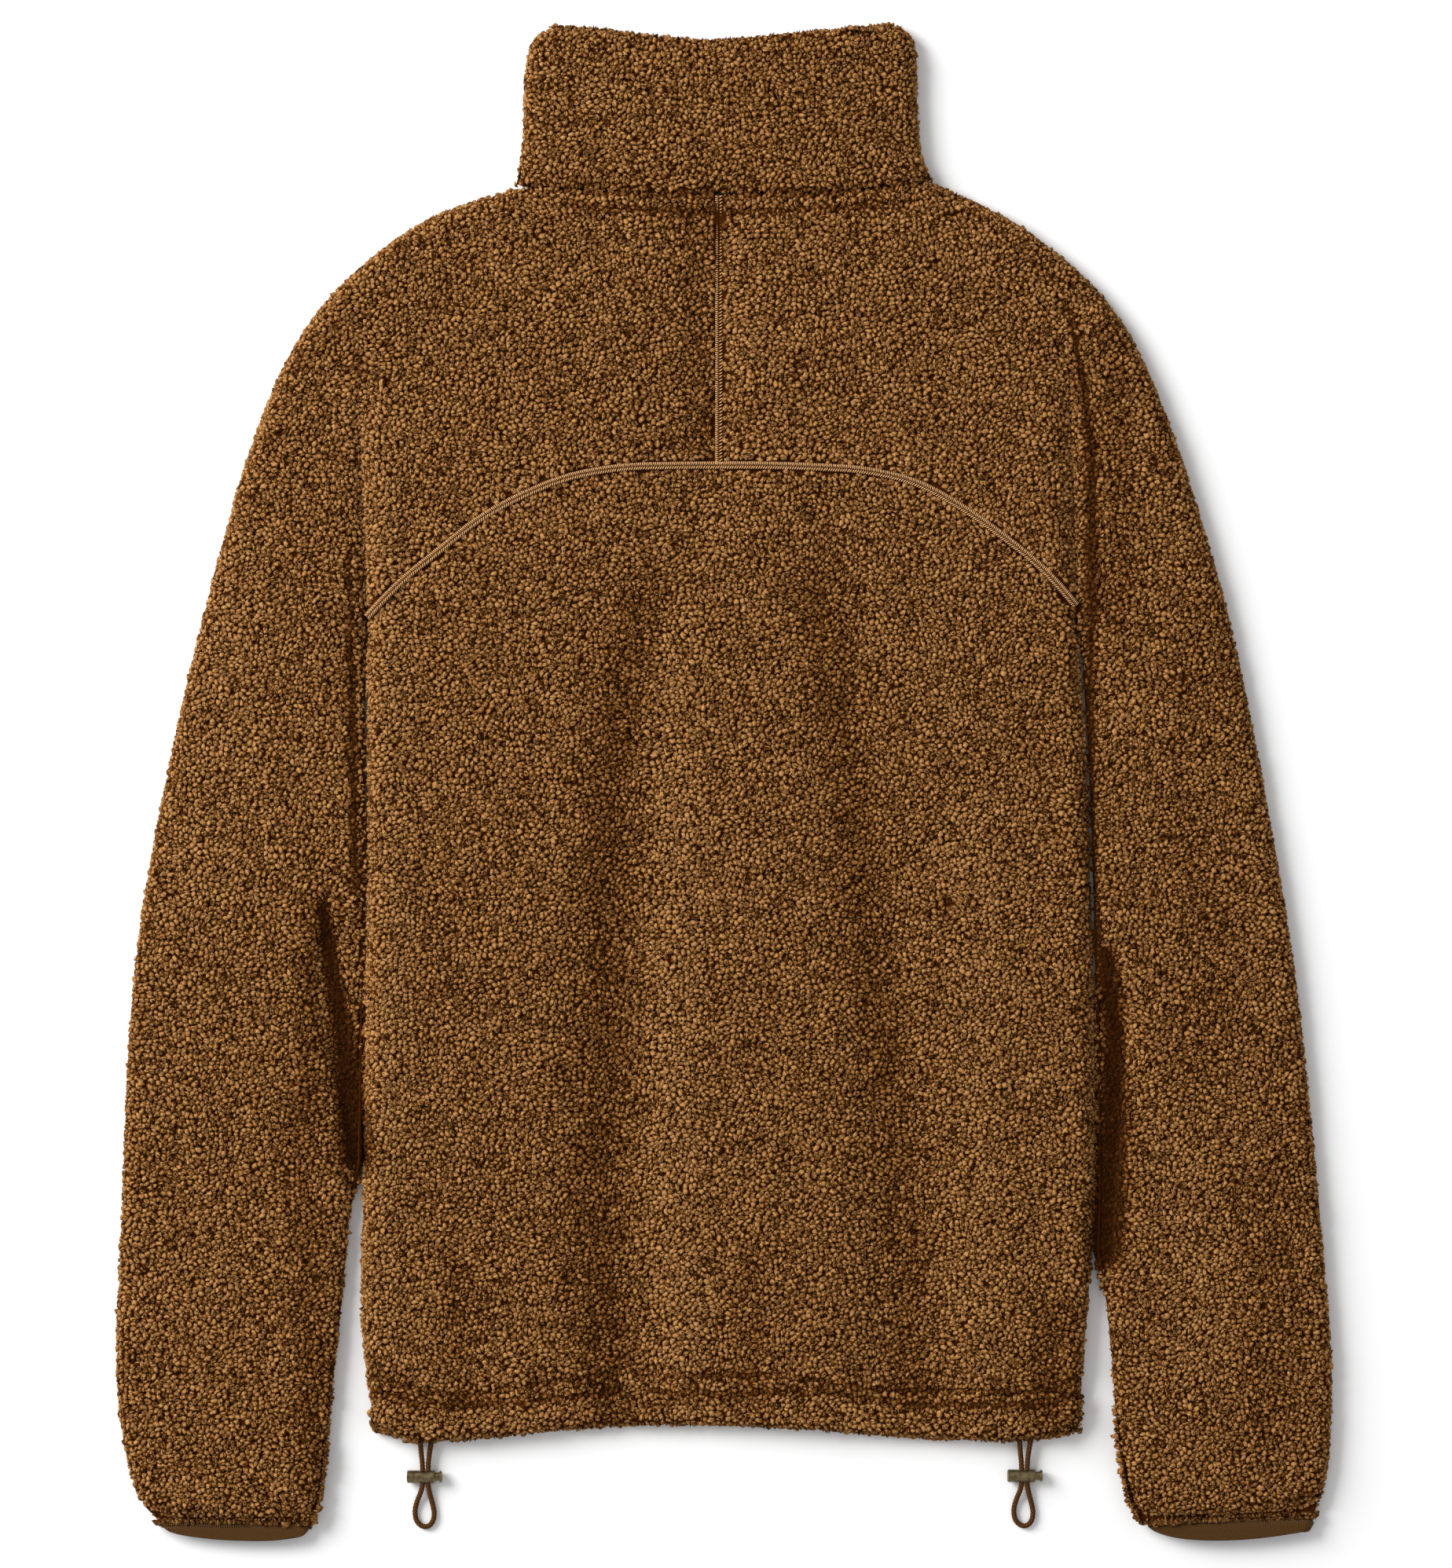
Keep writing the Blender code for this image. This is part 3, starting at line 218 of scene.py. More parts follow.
for side in SIDES:
    place = np.array([STRAND_X[side], LOCK_Y[side], 0.0])
    line = smooth_route((np.array(LOOP) + place) * MM, BRAID_STEP)
    across, up = ring_frames(line)
    run = np.concatenate([[0.0], np.cumsum(np.linalg.norm(np.diff(line, axis=0), axis=1))])
    around = np.arange(BRAID_SIDES) * 2.0 * math.pi / BRAID_SIDES
    turn = 2.0 * math.pi * run[:, None] / BRAID_PITCH
    one = np.cos(BRAID_STRANDS / 2.0 * (around + turn))
    two = np.cos(BRAID_STRANDS / 2.0 * (around - turn))
    strand = np.sqrt(np.abs(one * two))
    radius = CORD_DIAMETER / 2.0 * (BRAID_RELIEF[0] + BRAID_RELIEF[1] * strand)
    points = (line[:, None] + across[:, None] * (np.cos(around) * radius)[..., None]
              + up[:, None] * (np.sin(around) * radius)[..., None])
    points = points.reshape(-1, 3)
    cord = make_piece("drawcord_" + side + "_braid", points,
                      tube_faces(len(line), BRAID_SIDES), braid, {"strand": strand.ravel()})
    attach(cord, "jacket")
    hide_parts("drawcord_" + side)

# ---- fleece panels ------------------------------------------------------------------
# Heavy polyester sherpa fleece: a knitted ground whose pile is tumbled into small curls.
# Each panel is a thin shell inside the outer face of its own solid, and the curled
# tufts stand on it, so that their tips reach about as far as that face.
FLEECE = ("back_body", "sleeve_yoke_left", "sleeve_yoke_right", "collar",
          "front_left", "front_right")
SAME_FACE = math.radians(48.0)  # the wall's faces are joined where they turn less
MID_HEIGHT = 6.0 * MM           # between the front and the back of the jacket
GROUND_DEPTH = 1.6 * MM         # of the knitted ground under the outer face
GROUND_DEPTH_BELOW = 1.5 * MM   # where the jacket's weight presses the pile flat
GROUND_THICKNESS = 1.0 * MM
MERGE = 0.02 * MM               # points of a solid nearer than this are one
LINE_STEP = 2.0 * MM            # between the points of an edge's smoothed line
rng = np.random.default_rng(7)


def outer_face(node):
    """The outer face of a cloth wall, as a bmesh: its patch that looks out of the jacket."""
    wall = bmesh.new()
    wall.from_mesh(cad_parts[node].data)
    bmesh.ops.remove_doubles(wall, verts=wall.verts, dist=MERGE)
    wall.normal_update()
    left, patches = set(wall.faces), []
    while left:
        patch = [left.pop()]
        for face in patch:
            for edge in face.edges:
                for other in edge.link_faces:
                    if other in left and face.normal.angle(other.normal, 0.0) < SAME_FACE:
                        left.discard(other)
                        patch.append(other)
        patches.append(patch)

    def looks_out(patch):
        return sum((face.calc_center_median().z - MID_HEIGHT) * face.normal.z * face.calc_area()
                   for face in patch)

    outer = set(max(patches, key=looks_out))
    bmesh.ops.delete(wall, geom=[f for f in wall.faces if f not in outer], context="FACES")
    bmesh.ops.delete(wall, geom=[v for v in wall.verts if not v.link_faces], context="VERTS")
    return wall


def mesh_arrays(mesh):
    """The points of a mesh and its normals there."""
    points = np.zeros(len(mesh.vertices) * 3)
    normals = np.zeros(len(mesh.vertices) * 3)
    mesh.vertices.foreach_get("co", points)
    mesh.vertices.foreach_get("normal", normals)
    return points.reshape(-1, 3), normals.reshape(-1, 3)


def finer(wall, name, levels, kept_above=-math.inf):
    """A mesh of the outer face, divided and smoothed. Its rim stays put beyond a place in y."""
    crease = wall.verts.layers.float.new("crease_vert")
    for vert in wall.verts:
        vert[crease] = float(vert.is_boundary and vert.co.y > kept_above)
    mesh = bpy.data.meshes.new(name)
    wall.to_mesh(mesh)
    holder = bpy.data.objects.new(name + ".holder", mesh)
    bpy.context.scene.collection.objects.link(holder)
    holder.modifiers.new("smooth", "SUBSURF").levels = levels
    depsgraph = bpy.context.evaluated_depsgraph_get()
    made = bpy.data.meshes.new_from_object(holder.evaluated_get(depsgraph))
    bpy.data.objects.remove(holder, do_unlink=True)
    return made


def edge_line(wall, kept):
    """The points of an outer face's edge that are kept, from left to right."""
    points = np.array([v.co for v in wall.verts if v.is_boundary and kept(v.co)])
    return smooth_route(points[np.argsort(points[:, 0])], LINE_STEP)


def off_line(line, points):
    """Distance in plan from each point to a line."""
    best = np.full(len(points), 1e9)
    for a, b in zip(line[:-1, :2], line[1:, :2]):
        along = b - a
        t = np.clip((points[:, :2] - a) @ along / max(along @ along, 1e-12), 0.0, 1.0)
        best = np.minimum(best, np.linalg.norm(points[:, :2] - a - t[:, None] * along, axis=1))
    return best


ARCH_ABOVE = 92.2 * MM          # where the arched edge ends at the side seams,
ARCH_UP_TO = 196.8 * MM         # and on the wearer's right
HEM_BELOW = -355.0 * MM
NECK_BELOW = 345.0 * MM         # the collar's lower edge, on the back only
NECK_OVER = 7.0 * MM
CENTRE_SEAM = (178.0, 329.0)    # mm, its two ends
CENTRE_POINTS = 60
walls = {node: outer_face(node) for node in FLEECE}
arch = edge_line(walls["back_body"], lambda p: p.y > ARCH_ABOVE and p.x < ARCH_UP_TO)
hem = edge_line(walls["back_body"], lambda p: p.y < HEM_BELOW)
neck = edge_line(walls["collar"], lambda p: p.y < NECK_BELOW and p.z > NECK_OVER)
centre_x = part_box("sleeve_yoke_left")[1].x
centre_seam = np.array([[centre_x, y] for y in np.linspace(*CENTRE_SEAM, CENTRE_POINTS) * MM])

# Lines of stitching that hold the turned hem, which wander a little in the deep pile:
# height of each above the edge, and the reach, length and shift of its two waves
HEM_STITCH_RISE = (19.4 * MM, 27.7 * MM)
HEM_WANDER = ((1.3 * MM, 17.0 * MM, 900.0), (0.9 * MM, 41.0 * MM, 300.0))
hem_stitches = []
for rise in HEM_STITCH_RISE:
    row = hem[:, :2] + [0.0, rise]
    for reach, length, shift in HEM_WANDER:
        row[:, 1] += reach * np.sin(row[:, 0] / length + rise * shift)
    hem_stitches.append(row)

# Grooves pressed into the pile: line, half width, depth
GROOVES = (
    (arch, 3.0 * MM, 0.6 * MM),
    (centre_seam, 3.0 * MM, 0.6 * MM),
    (neck[:, :2] - [0.0, 9.0 * MM], 3.0 * MM, 1.5 * MM),
    (neck, 2.4 * MM, 1.0 * MM),
    (hem_stitches[0], 2.6 * MM, 2.2 * MM),
    (hem_stitches[1], 2.6 * MM, 1.8 * MM),
)

# Crevices where the sleeves meet the body: line in mm, half width at its two ends, and
# how much of the light they lose, which darkens the tufts' colour there as painted shade
CREVICES = (
    (((-210, 130), (-209, 60), (-207, -20), (-207, -60)), 1.5 * MM, 3.0 * MM, 0.6),
    (((-225, -70), (-219, -110), (-212, -150), (-206, -208)), 3.5 * MM, 9.5 * MM, 1.0),
    (((192, 268), (201, 225), (206, 180), (206, 95)), 1.5 * MM, 4.8 * MM, 0.62),
    (((206, 95), (205, 20), (206, -60), (210, -110)), 2.6 * MM, 4.0 * MM, 0.6),
    (((214, -96), (219, -140), (218, -196), (213, -262)), 4.5 * MM, 10.0 * MM, 1.0),
)


def in_crevice(places):
    """From 0 on the open cloth to 1 in the middle of the darkest crevice."""
    shade = np.zeros(len(places))
    for corners, start, stop, strength in CREVICES:
        line = np.array(corners) * MM
        t = np.clip((places[:, 1] - line[0, 1]) / (line[-1, 1] - line[0, 1]), 0.0, 1.0)
        half_width = start + (stop - start) * t
        inside = strength * np.exp(-(off_line(line, places) / half_width) ** 3)
        shade = np.maximum(shade, inside)
    return shade


# Bands of painted shade and light beside the long folds and the sleeves' inner sides, lighter (+)
# where the cloth faces the light and darker (-) where it faces away: line in mm, half width,
# change of tone
FOLD_SHADING_BANDS = (
    (((-14, 322), (-12, 250), (-11, 190)), 13.0 * MM, -0.12),
    (((9, 322), (9, 250), (9, 190)), 10.0 * MM, 0.06),
    (((-41, 100), (-61, 27), (-65, -42), (-66, -110), (-69, -179), (-71, -248),
      (-67, -308), (-61, -352)), 17.0 * MM, -0.21),
    (((-28, 100), (-31, 27), (-28, -42), (-31, -110), (-32, -179), (-28, -248),
      (-23, -330)), 13.0 * MM, 0.13),
    (((51, 113), (60, 61), (69, 10), (75, -42), (80, -93), (88, -153), (97, -213),
      (102, -273), (106, -345)), 13.5 * MM, -0.18),
    (((140, -20), (143, -145), (143, -248), (135, -316)), 16.0 * MM, 0.08),
    (((-195, 216), (-191, 95), (-190, -42), (-190, -162), (-190, -315)), 9.0 * MM, 0.14),
    (((-225, -70), (-232, -145), (-236, -213), (-233, -299), (-232, -385)), 11.0 * MM, -0.17),
    (((217, 250), (221, 164), (221, 95)), 11.0 * MM, -0.13),
    (((266, 60), (266, -30), (268, -150)), 20.0 * MM, -0.07),
    (((-272, 130), (-285, 30), (-296, -60)), 22.0 * MM, 0.07),
    (((-148, -275), (-149, -345)), 10.0 * MM, -0.12),
    (((16, -275), (14, -350)), 9.0 * MM, -0.12),
    (((183, -300), (182, -358)), 11.0 * MM, -0.2),
    (((258, -215), (264, -260), (266, -320)), 15.0 * MM, 0.08),
    (((306, -230), (306, -290), (303, -365)), 16.0 * MM, -0.10),
    (((16, 400), (16, 350)), 26.0 * MM, -0.06),
)

# The same painted shading along lines of stitching: darker where the pile is drawn down between
# its tufts, lighter on the ridges beside them
STITCH_LINE_SHADING = (
    (hem_stitches[0], 1.5 * MM, -0.45),
    (hem_stitches[1], 1.5 * MM, -0.36),
    (hem[:, :2] + [0.0, 6.0 * MM], 8.0 * MM, 0.05),
    (neck[:, :2] - [0.0, 9.0 * MM], 2.2 * MM, -0.32),
    (neck[:, :2] - [0.0, 4.0 * MM], 3.0 * MM, 0.08),
    (neck[:, :2], 2.0 * MM, -0.35),
)
SHADING_BAND_STEP = 4.0 * MM             # between the points of a band's smoothed line
ARCH_PAINTED_LIGHT = (6.0 * MM, 0.08)    # half width and painted lightening beside the arched seam


def painted_shading(places):
    """Painted shading: how much lighter or darker the pile's colour is made along folds, seams and
    stitched grooves.
    """
    shift = np.zeros(len(places))
    for corners, half_width, change in FOLD_SHADING_BANDS:
        flat = np.column_stack([np.array(corners) * MM, np.zeros(len(corners))])
        line = smooth_route(flat, SHADING_BAND_STEP)
        shift += change * np.exp(-(off_line(line, places) / half_width) ** 2)
    shift += ARCH_PAINTED_LIGHT[1] * np.exp(-(off_line(arch, places) / ARCH_PAINTED_LIGHT[0]) ** 2)
    for line, half_width, change in STITCH_LINE_SHADING:
        shift += change * np.exp(-(off_line(line, places) / half_width) ** 2)
    return shift * (places[:, 2] > MID_HEIGHT)


GROOVE_FACING = 1.5             # how soon a groove fades where the cloth turns over its edge


def pressed_in(points, normals):
    """How deep the grooves and creases lie at each point of a panel's upper side."""
    depth = np.zeros(len(points))
    for line, half_width, deepest in GROOVES:
        depth = np.maximum(depth, deepest * np.exp(-(off_line(line, points) / half_width) ** 2))
    return depth * np.clip(normals[:, 2] * GROOVE_FACING, 0.0, 1.0)


SEAM_WIDTH = 5.0 * MM           # of the flat seams, which have no pile on them
SEAM_CLEAR = 0.5 * MM           # from a seam's side to the first tufts
HEM_AND_CUFFS = -345.0 * MM     # their free edges lie below this
COLLAR_TOP = 395.0 * MM         # and the collar's above this
FRINGE_SIDEWAYS = 0.6           # an edge that faces sideways more than this has no fringe
FRINGE_SPACING = 1.9 * MM
FRINGE_SIZE = 1.7               # times the height of the other tufts
FRINGE_ROWS = (                 # degrees up from the cloth, and place beyond its edge
    (62.0, -0.6 * MM), (25.0, -0.6 * MM), (-15.0, -0.6 * MM), (60.0, 1.5 * MM))
TUFT_SPACING = (1.55 * MM, 2.72 * MM)   # across their lie, as tufts differ in size
TUFT_SPACING_BELOW = (3.3 * MM, 4.1 * MM)
TUFT_LENGTH = 1.42              # of a tuft along its lie, over its width
TUFT_HEIGHT = 1.8 * MM
TUFT_HEIGHTS = (0.82, 1.15)     # least and most, as a share of that
MEAN_REACH = 1.3 * MM           # a tuft that reaches further than this is also taller,
REACH_TALLER = (0.7, 1.25)      # within these shares
TUFT_SIDES = 5
TUFT_REACH = (0.45 * MM, 1.8 * MM)      # of a tuft from its middle
TUFT_REACH_BELOW = (0.45 * MM, 2.9 * MM)
TUFT_NEIGHBOURS = 12            # that a tuft may meet
PLACES_TRIED = 9.0              # for each square of the mean spacing
TUFT_TILT = 0.10                # spread of the directions in which tufts stand
TUFT_LEAN = 0.22                # spread of the slopes of their tops
SHARE_HOLLOW = 0.22             # of the curls that look like little rings
ROOT_RING = (1.3, -0.06)        # share of a tuft's reach and of its height, at its root,
SHOULDER_RING = (0.94, 0.70)    # at its shoulder,
HOLLOW_RING = (0.76, 0.92)      # at the rim of a hollow curl
HOLLOW_TOP = 0.45               # and the height of that curl's middle
PRESSED_RING = (0.95, -0.05)
PRESSED_TOP = 0.6
RING_JITTER = (0.03, 0.10)      # of the root ring and of the upper ring
# Painted shade: CREVICE_SHADE darkens the tufts' colour in the crevices
CREVICE_SHADE = 0.9             # darkening of the tufts in the deepest crevice,
CREVICE_FLAT = 0.65             # and their loss of height there
GROOVE_FLAT = 0.35              # loss of height in a groove
LEAST_SIZE = 0.3
# Painted light: the tufts where the cloth turns down keep a lighter least tone, so their roots are
# not painted dark there
EDGE_TIP = (0.6, 0.8, 0.5)      # least tone where the cloth turns down: its value, and the
                                # upward part of the normal where it starts, and its span
ABOVE_FLOOR = 0.15 * MM
MOST_TRIANGLES = 180000         # in one piece


def spread_over(points, normals, triangles, spacing, rng):
    """Places on a surface, and its normals there, at uneven distances within the spacing."""
    a, b, c = (points[triangles[:, i]] for i in range(3))
    area = np.linalg.norm(np.cross(b - a, c - a), axis=1) / 2.0
    least, most = spacing
    count = int(PLACES_TRIED * area.sum() / (0.5 * (least + most)) ** 2)
    chosen = rng.choice(len(area), count, p=area / area.sum())
    u, v = rng.random((2, count, 1))
    u, v = np.where(u + v > 1.0, 1.0 - u, u), np.where(u + v > 1.0, 1.0 - v, v)
    places = a[chosen] + u * (b[chosen] - a[chosen]) + v * (c[chosen] - a[chosen])
    na, nb, nc = (normals[triangles[chosen, i]] for i in range(3))
    facing = unit(na + u * (nb - na) + v * (nc - na))
    room = rng.uniform(least, most, count)
    lie = flow_angle(places)
    cells = np.floor(places / (most * TUFT_LENGTH)).astype(int).tolist()
    around = [(i, j, k) for i in (-1, 0, 1) for j in (-1, 0, 1) for k in (-1, 0, 1)]
    taken, kept = {}, []
    rows = zip(places.tolist(), cells, room.tolist(), np.cos(lie).tolist(), np.sin(lie).tolist())
    for index, ((x, y, z), (ci, cj, ck), own, c, s) in enumerate(rows):
        near = [other for i, j, k in around for other in taken.get((ci + i, cj + j, ck + k), ())]
        if all((((px - x) * c + (py - y) * s) / TUFT_LENGTH) ** 2
               + ((py - y) * c - (px - x) * s) ** 2
               + (pz - z) ** 2 >= (0.5 * (own + theirs)) ** 2 for px, py, pz, theirs in near):
            taken.setdefault((ci, cj, ck), []).append((x, y, z, own))
            kept.append(index)
    return places[kept], facing[kept]


def free_edge(mesh, node):
    """Places and directions for the tufts that hang over a panel's free edges."""
    edge_faces = {}
    for face in mesh.polygons:
        for key in face.edge_keys:
            edge_faces.setdefault(key, []).append(face)
    places, outward = [], []
    for (i, j), faces in edge_faces.items():
        a, b = mesh.vertices[i].co, mesh.vertices[j].co
        middle = (a + b) / 2.0
        at_mouth = middle.y < HEM_AND_CUFFS or middle.y > COLLAR_TOP
        if len(faces) > 1 or not at_mouth:
            continue
        normal = faces[0].normal
        out = (b - a).cross(normal).normalized()
        if out.dot(middle - faces[0].center) < 0.0:
            out = -out
        if abs(out.x) > FRINGE_SIDEWAYS:
            continue
        for angle, beyond in FRINGE_ROWS:
            turned = out * math.cos(math.radians(angle)) + normal * math.sin(math.radians(angle))
            for t in rng.random(rng.poisson((b - a).length / FRINGE_SPACING)):
                places.append(a.lerp(b, t) + out * beyond)
                outward.append(turned)
    return np.array(places).reshape(-1, 3), np.array(outward).reshape(-1, 3)


def flow_angle(places):
    """The way that neighbouring curls lie, which wanders over the cloth."""
    x, y = places[:, 0] / MM, places[:, 1] / MM
    return (1.9 * np.sin(x / 11.0 + 1.3 * np.sin(y / 17.0)) + 1.7 * np.sin(y / 9.0 + x / 23.0)
            + 0.9 * np.sin(x / 4.5 - y / 6.1))


def tuft_reaches(places, along, across, angles, limits):
    """How far each tuft reaches each way before it meets half way to its neighbours."""
    tree = KDTree(len(places))
    for i, place in enumerate(places):
        tree.insert(place, i)
    tree.balance()
    near = np.array([[found[1] for found in tree.find_n(place, TUFT_NEIGHBOURS + 1)][1:]
                     for place in places])
    apart = places[near] - places[:, None]
    flat = np.stack([np.sum(apart * along[:, None], axis=2) / TUFT_LENGTH,
                     np.sum(apart * across[:, None], axis=2)], axis=2)
    reach = np.full(angles.shape, 9.0)
    for k in range(angles.shape[1]):
        way = np.stack([np.cos(angles[:, k]), np.sin(angles[:, k])], axis=1)
        toward = np.sum(flat * way[:, None], axis=2)
        half = np.sum(flat ** 2, axis=2) / (2.0 * np.maximum(toward, 1e-7))
        reach[:, k] = np.min(np.where(toward > 0.0, half, 9.0), axis=1)
    return np.clip(reach, *limits)


def grow_tufts(name, places, facing, size, pressed, material, rng):
    """Pieces of joined tufts that stand on a panel, some thousands in each."""
    count = len(places)
    up = unit(facing + rng.normal(0.0, TUFT_TILT, facing.shape))
    lie = flow_angle(places)
    along = np.column_stack([np.cos(lie), np.sin(lie), np.full(count, 0.01)])
    along = unit(along - up * np.sum(along * up, axis=1, keepdims=True))
    across = np.cross(up, along)
    angles = (rng.random((count, 1)) * 2.0 * math.pi
              + np.arange(TUFT_SIDES) * 2.0 * math.pi / TUFT_SIDES)
    reach = tuft_reaches(places, along, across, angles,
                         TUFT_REACH_BELOW if pressed else TUFT_REACH)
    taller = np.clip(reach.mean(axis=1) / MEAN_REACH, *REACH_TALLER)
    height = TUFT_HEIGHT * size * rng.uniform(*TUFT_HEIGHTS, count) * taller
    hollow = rng.random(count) < SHARE_HOLLOW
    # Painted shade and light: the tufts' colour is darkened in the crevices and shifted along the
    # folds and stitched grooves
    shade = CREVICE_SHADE * in_crevice(places) - painted_shading(places)
    least, start, span = EDGE_TIP
    least_tip = least * np.clip((start - facing[:, 2]) / span, 0.0, 1.0)
    lean = rng.normal(0.0, TUFT_LEAN, (count, 2))
    ways = np.stack([np.cos(angles) * TUFT_LENGTH, np.sin(angles)], axis=2)

    def ring(share, rise, jitter):
        """Points round each tuft at a share of its reach and of its height."""
        out = reach * share[:, None] * (1.0 + rng.normal(0.0, jitter, reach.shape))
        flat = ways * out[..., None]
        tilt = np.sum(flat * lean[:, None], axis=2)
        z = height[:, None] * rise[:, None] * (1.0 + rng.normal(0.0, jitter, reach.shape))
        z = z + tilt * (rise[:, None] > 0.0)
        world = (places[:, None] + along[:, None] * flat[..., :1] + across[:, None] * flat[..., 1:]
                 + up[:, None] * z[..., None])
        return world, np.broadcast_to(rise[:, None], reach.shape)

    ones = np.ones(count)
    if pressed:
        rings = [ring(ones * PRESSED_RING[0], ones * PRESSED_RING[1], RING_JITTER[0])]
        top = ones * PRESSED_TOP
    else:
        rings = [ring(ones * ROOT_RING[0], ones * ROOT_RING[1], RING_JITTER[0]),
                 ring(np.where(hollow, HOLLOW_RING[0], SHOULDER_RING[0]),
                      np.where(hollow, HOLLOW_RING[1], SHOULDER_RING[1]), RING_JITTER[1])]
        top = np.where(hollow, HOLLOW_TOP, 1.0)
    peak = places + up * (height * top)[:, None]
    local = np.concatenate([world for world, _ in rings] + [peak[:, None]], axis=1)
    # Painted shade and highlight: each point's colour share is its height in the tuft, so roots
    # and hollow middles come out dark and tops light
    tips = np.concatenate([rise for _, rise in rings] + [top[:, None]], axis=1)
    tips = np.clip(tips, least_tip[:, None], 1.0) - shade[:, None]
    n = TUFT_SIDES
    last = n * len(rings)
    faces = [(last - n + k, last - n + (k + 1) % n, last) for k in range(n)]
    if not pressed:
        for k in range(n):
            m = (k + 1) % n
            faces += [(k, m, n + k), (m, n + m, n + k)]
    faces = np.array(faces)
    order = np.argsort(places[:, 1])
    parts = math.ceil(count * len(faces) / MOST_TRIANGLES)
    pieces = []
    for part, chosen in enumerate(np.array_split(order, parts)):
        points = local[chosen].reshape(-1, 3).copy()
        points[:, 2] = np.maximum(points[:, 2], ABOVE_FLOOR)
        offsets = np.arange(len(chosen)) * local.shape[1]
        triangles = (faces[None] + offsets[:, None, None]).reshape(-1, 3)
        tones = np.repeat(rng.random(len(chosen)), local.shape[1])
        pieces.append(make_piece(f"{name}_{part + 1}", points, triangles, material,
                                 {"tip": tips[chosen].ravel(), "tone": tones}))
    return pieces


# Curled polyester pile: matt, soft and warm brown. Its colour is painted tan toward the tops of
# the tufts as painted highlight, and almost black toward their roots as painted shade between the
# curls.
pile, shader = start_material("curled polyester pile", Roughness=0.95, Sheen_Weight=0.12,
                              Sheen_Roughness=0.5, Sheen_Tint=linear("#d9a566"),
                              Specular_Tint=linear("#9a6a30"), Specular_IOR_Level=0.3)
CURL = 4.4 * MM                 # across the folds of the curls inside and between the tufts
FIBRE = 1.1 * MM                # a bundle of fibres, drawn coarser than the real 0.02 mm
MOTTLE = 22.0 * MM              # patches where the pile lies another way
RELIEF = 0.9 * MM               # depth of the folds and bundles in the bump
where = add_node(pile, "ShaderNodeTexCoord").outputs["Object"]
tip = add_node(pile, "ShaderNodeAttribute", {"attribute_name": "tip"}).outputs["Fac"]
tone = add_node(pile, "ShaderNodeAttribute", {"attribute_name": "tone"}).outputs["Fac"]
curl = add_node(pile, "ShaderNodeTexNoise", inputs={
    "Vector": where, "Scale": 1.0 / CURL, "Detail": 1.5, "Roughness": 0.5, "Distortion": 0.9})
centred = add_node(pile, "ShaderNodeMath", {"operation": "SUBTRACT"},
                   {0: curl.outputs["Fac"], 1: 0.5})
away = add_node(pile, "ShaderNodeMath", {"operation": "ABSOLUTE"}, {0: centred.outputs[0]})
# Painted shade: where the curl noise crosses its middle the colour turns dark, in the creases
# between the curls; the same values shape the bump
crease = add_node(pile, "ShaderNodeMapRange", inputs={
    "Value": away.outputs[0], "From Min": 0.0, "From Max": 0.045, "To Min": -0.75, "To Max": 0.09})
fibre = add_node(pile, "ShaderNodeTexNoise", inputs={
    "Vector": where, "Scale": 1.0 / FIBRE, "Detail": 2.0, "Roughness": 0.55, "Distortion": 1.2})
mottle = add_node(pile, "ShaderNodeTexNoise", inputs={
    "Vector": where, "Scale": 1.0 / MOTTLE, "Detail": 2.0})
spread = add_node(pile, "ShaderNodeMapRange", inputs={
    "Value": fibre.outputs["Fac"], "From Min": 0.34, "From Max": 0.66,
    "To Min": -0.22, "To Max": 0.24})
each = add_node(pile, "ShaderNodeMapRange", inputs={
    "Value": tone, "To Min": -0.10, "To Max": 0.10})
patch = add_node(pile, "ShaderNodeMapRange", inputs={
    "Value": mottle.outputs["Fac"], "From Min": 0.35, "From Max": 0.65,
    "To Min": -0.02, "To Max": 0.02})
total = tip
for part in (spread, crease, each, patch):
    total = add_node(pile, "ShaderNodeMath", {"operation": "ADD"},
                     {0: total, 1: part.outputs[0]}).outputs[0]
colour = add_node(pile, "ShaderNodeValToRGB", inputs={"Fac": total})
set_ramp(colour, ((0.0, "#270b00"), (0.35, "#4a2608"), (0.70, "#7f5023"), (1.0, "#ba8853")))
pile.node_tree.links.new(colour.outputs["Color"], shader.inputs["Base Color"])
relief = add_node(pile, "ShaderNodeMath", {"operation": "ADD"},
                  {0: crease.outputs[0], 1: spread.outputs[0]})
bump = add_node(pile, "ShaderNodeBump", inputs={
    "Height": relief.outputs[0], "Strength": 1.0, "Distance": RELIEF})
pile.node_tree.links.new(bump.outputs["Normal"], shader.inputs["Normal"])

# Knitted polyester ground: dark brown, seen only between the curls and inside the jacket; its
# darkness also stands as painted shade in the gaps between the curls.
ground, _ = start_material("knitted polyester ground", Base_Color=linear("#3a1a04"),
                           Roughness=0.95, Specular_Tint=linear("#9a6a30"),
                           Specular_IOR_Level=0.3)

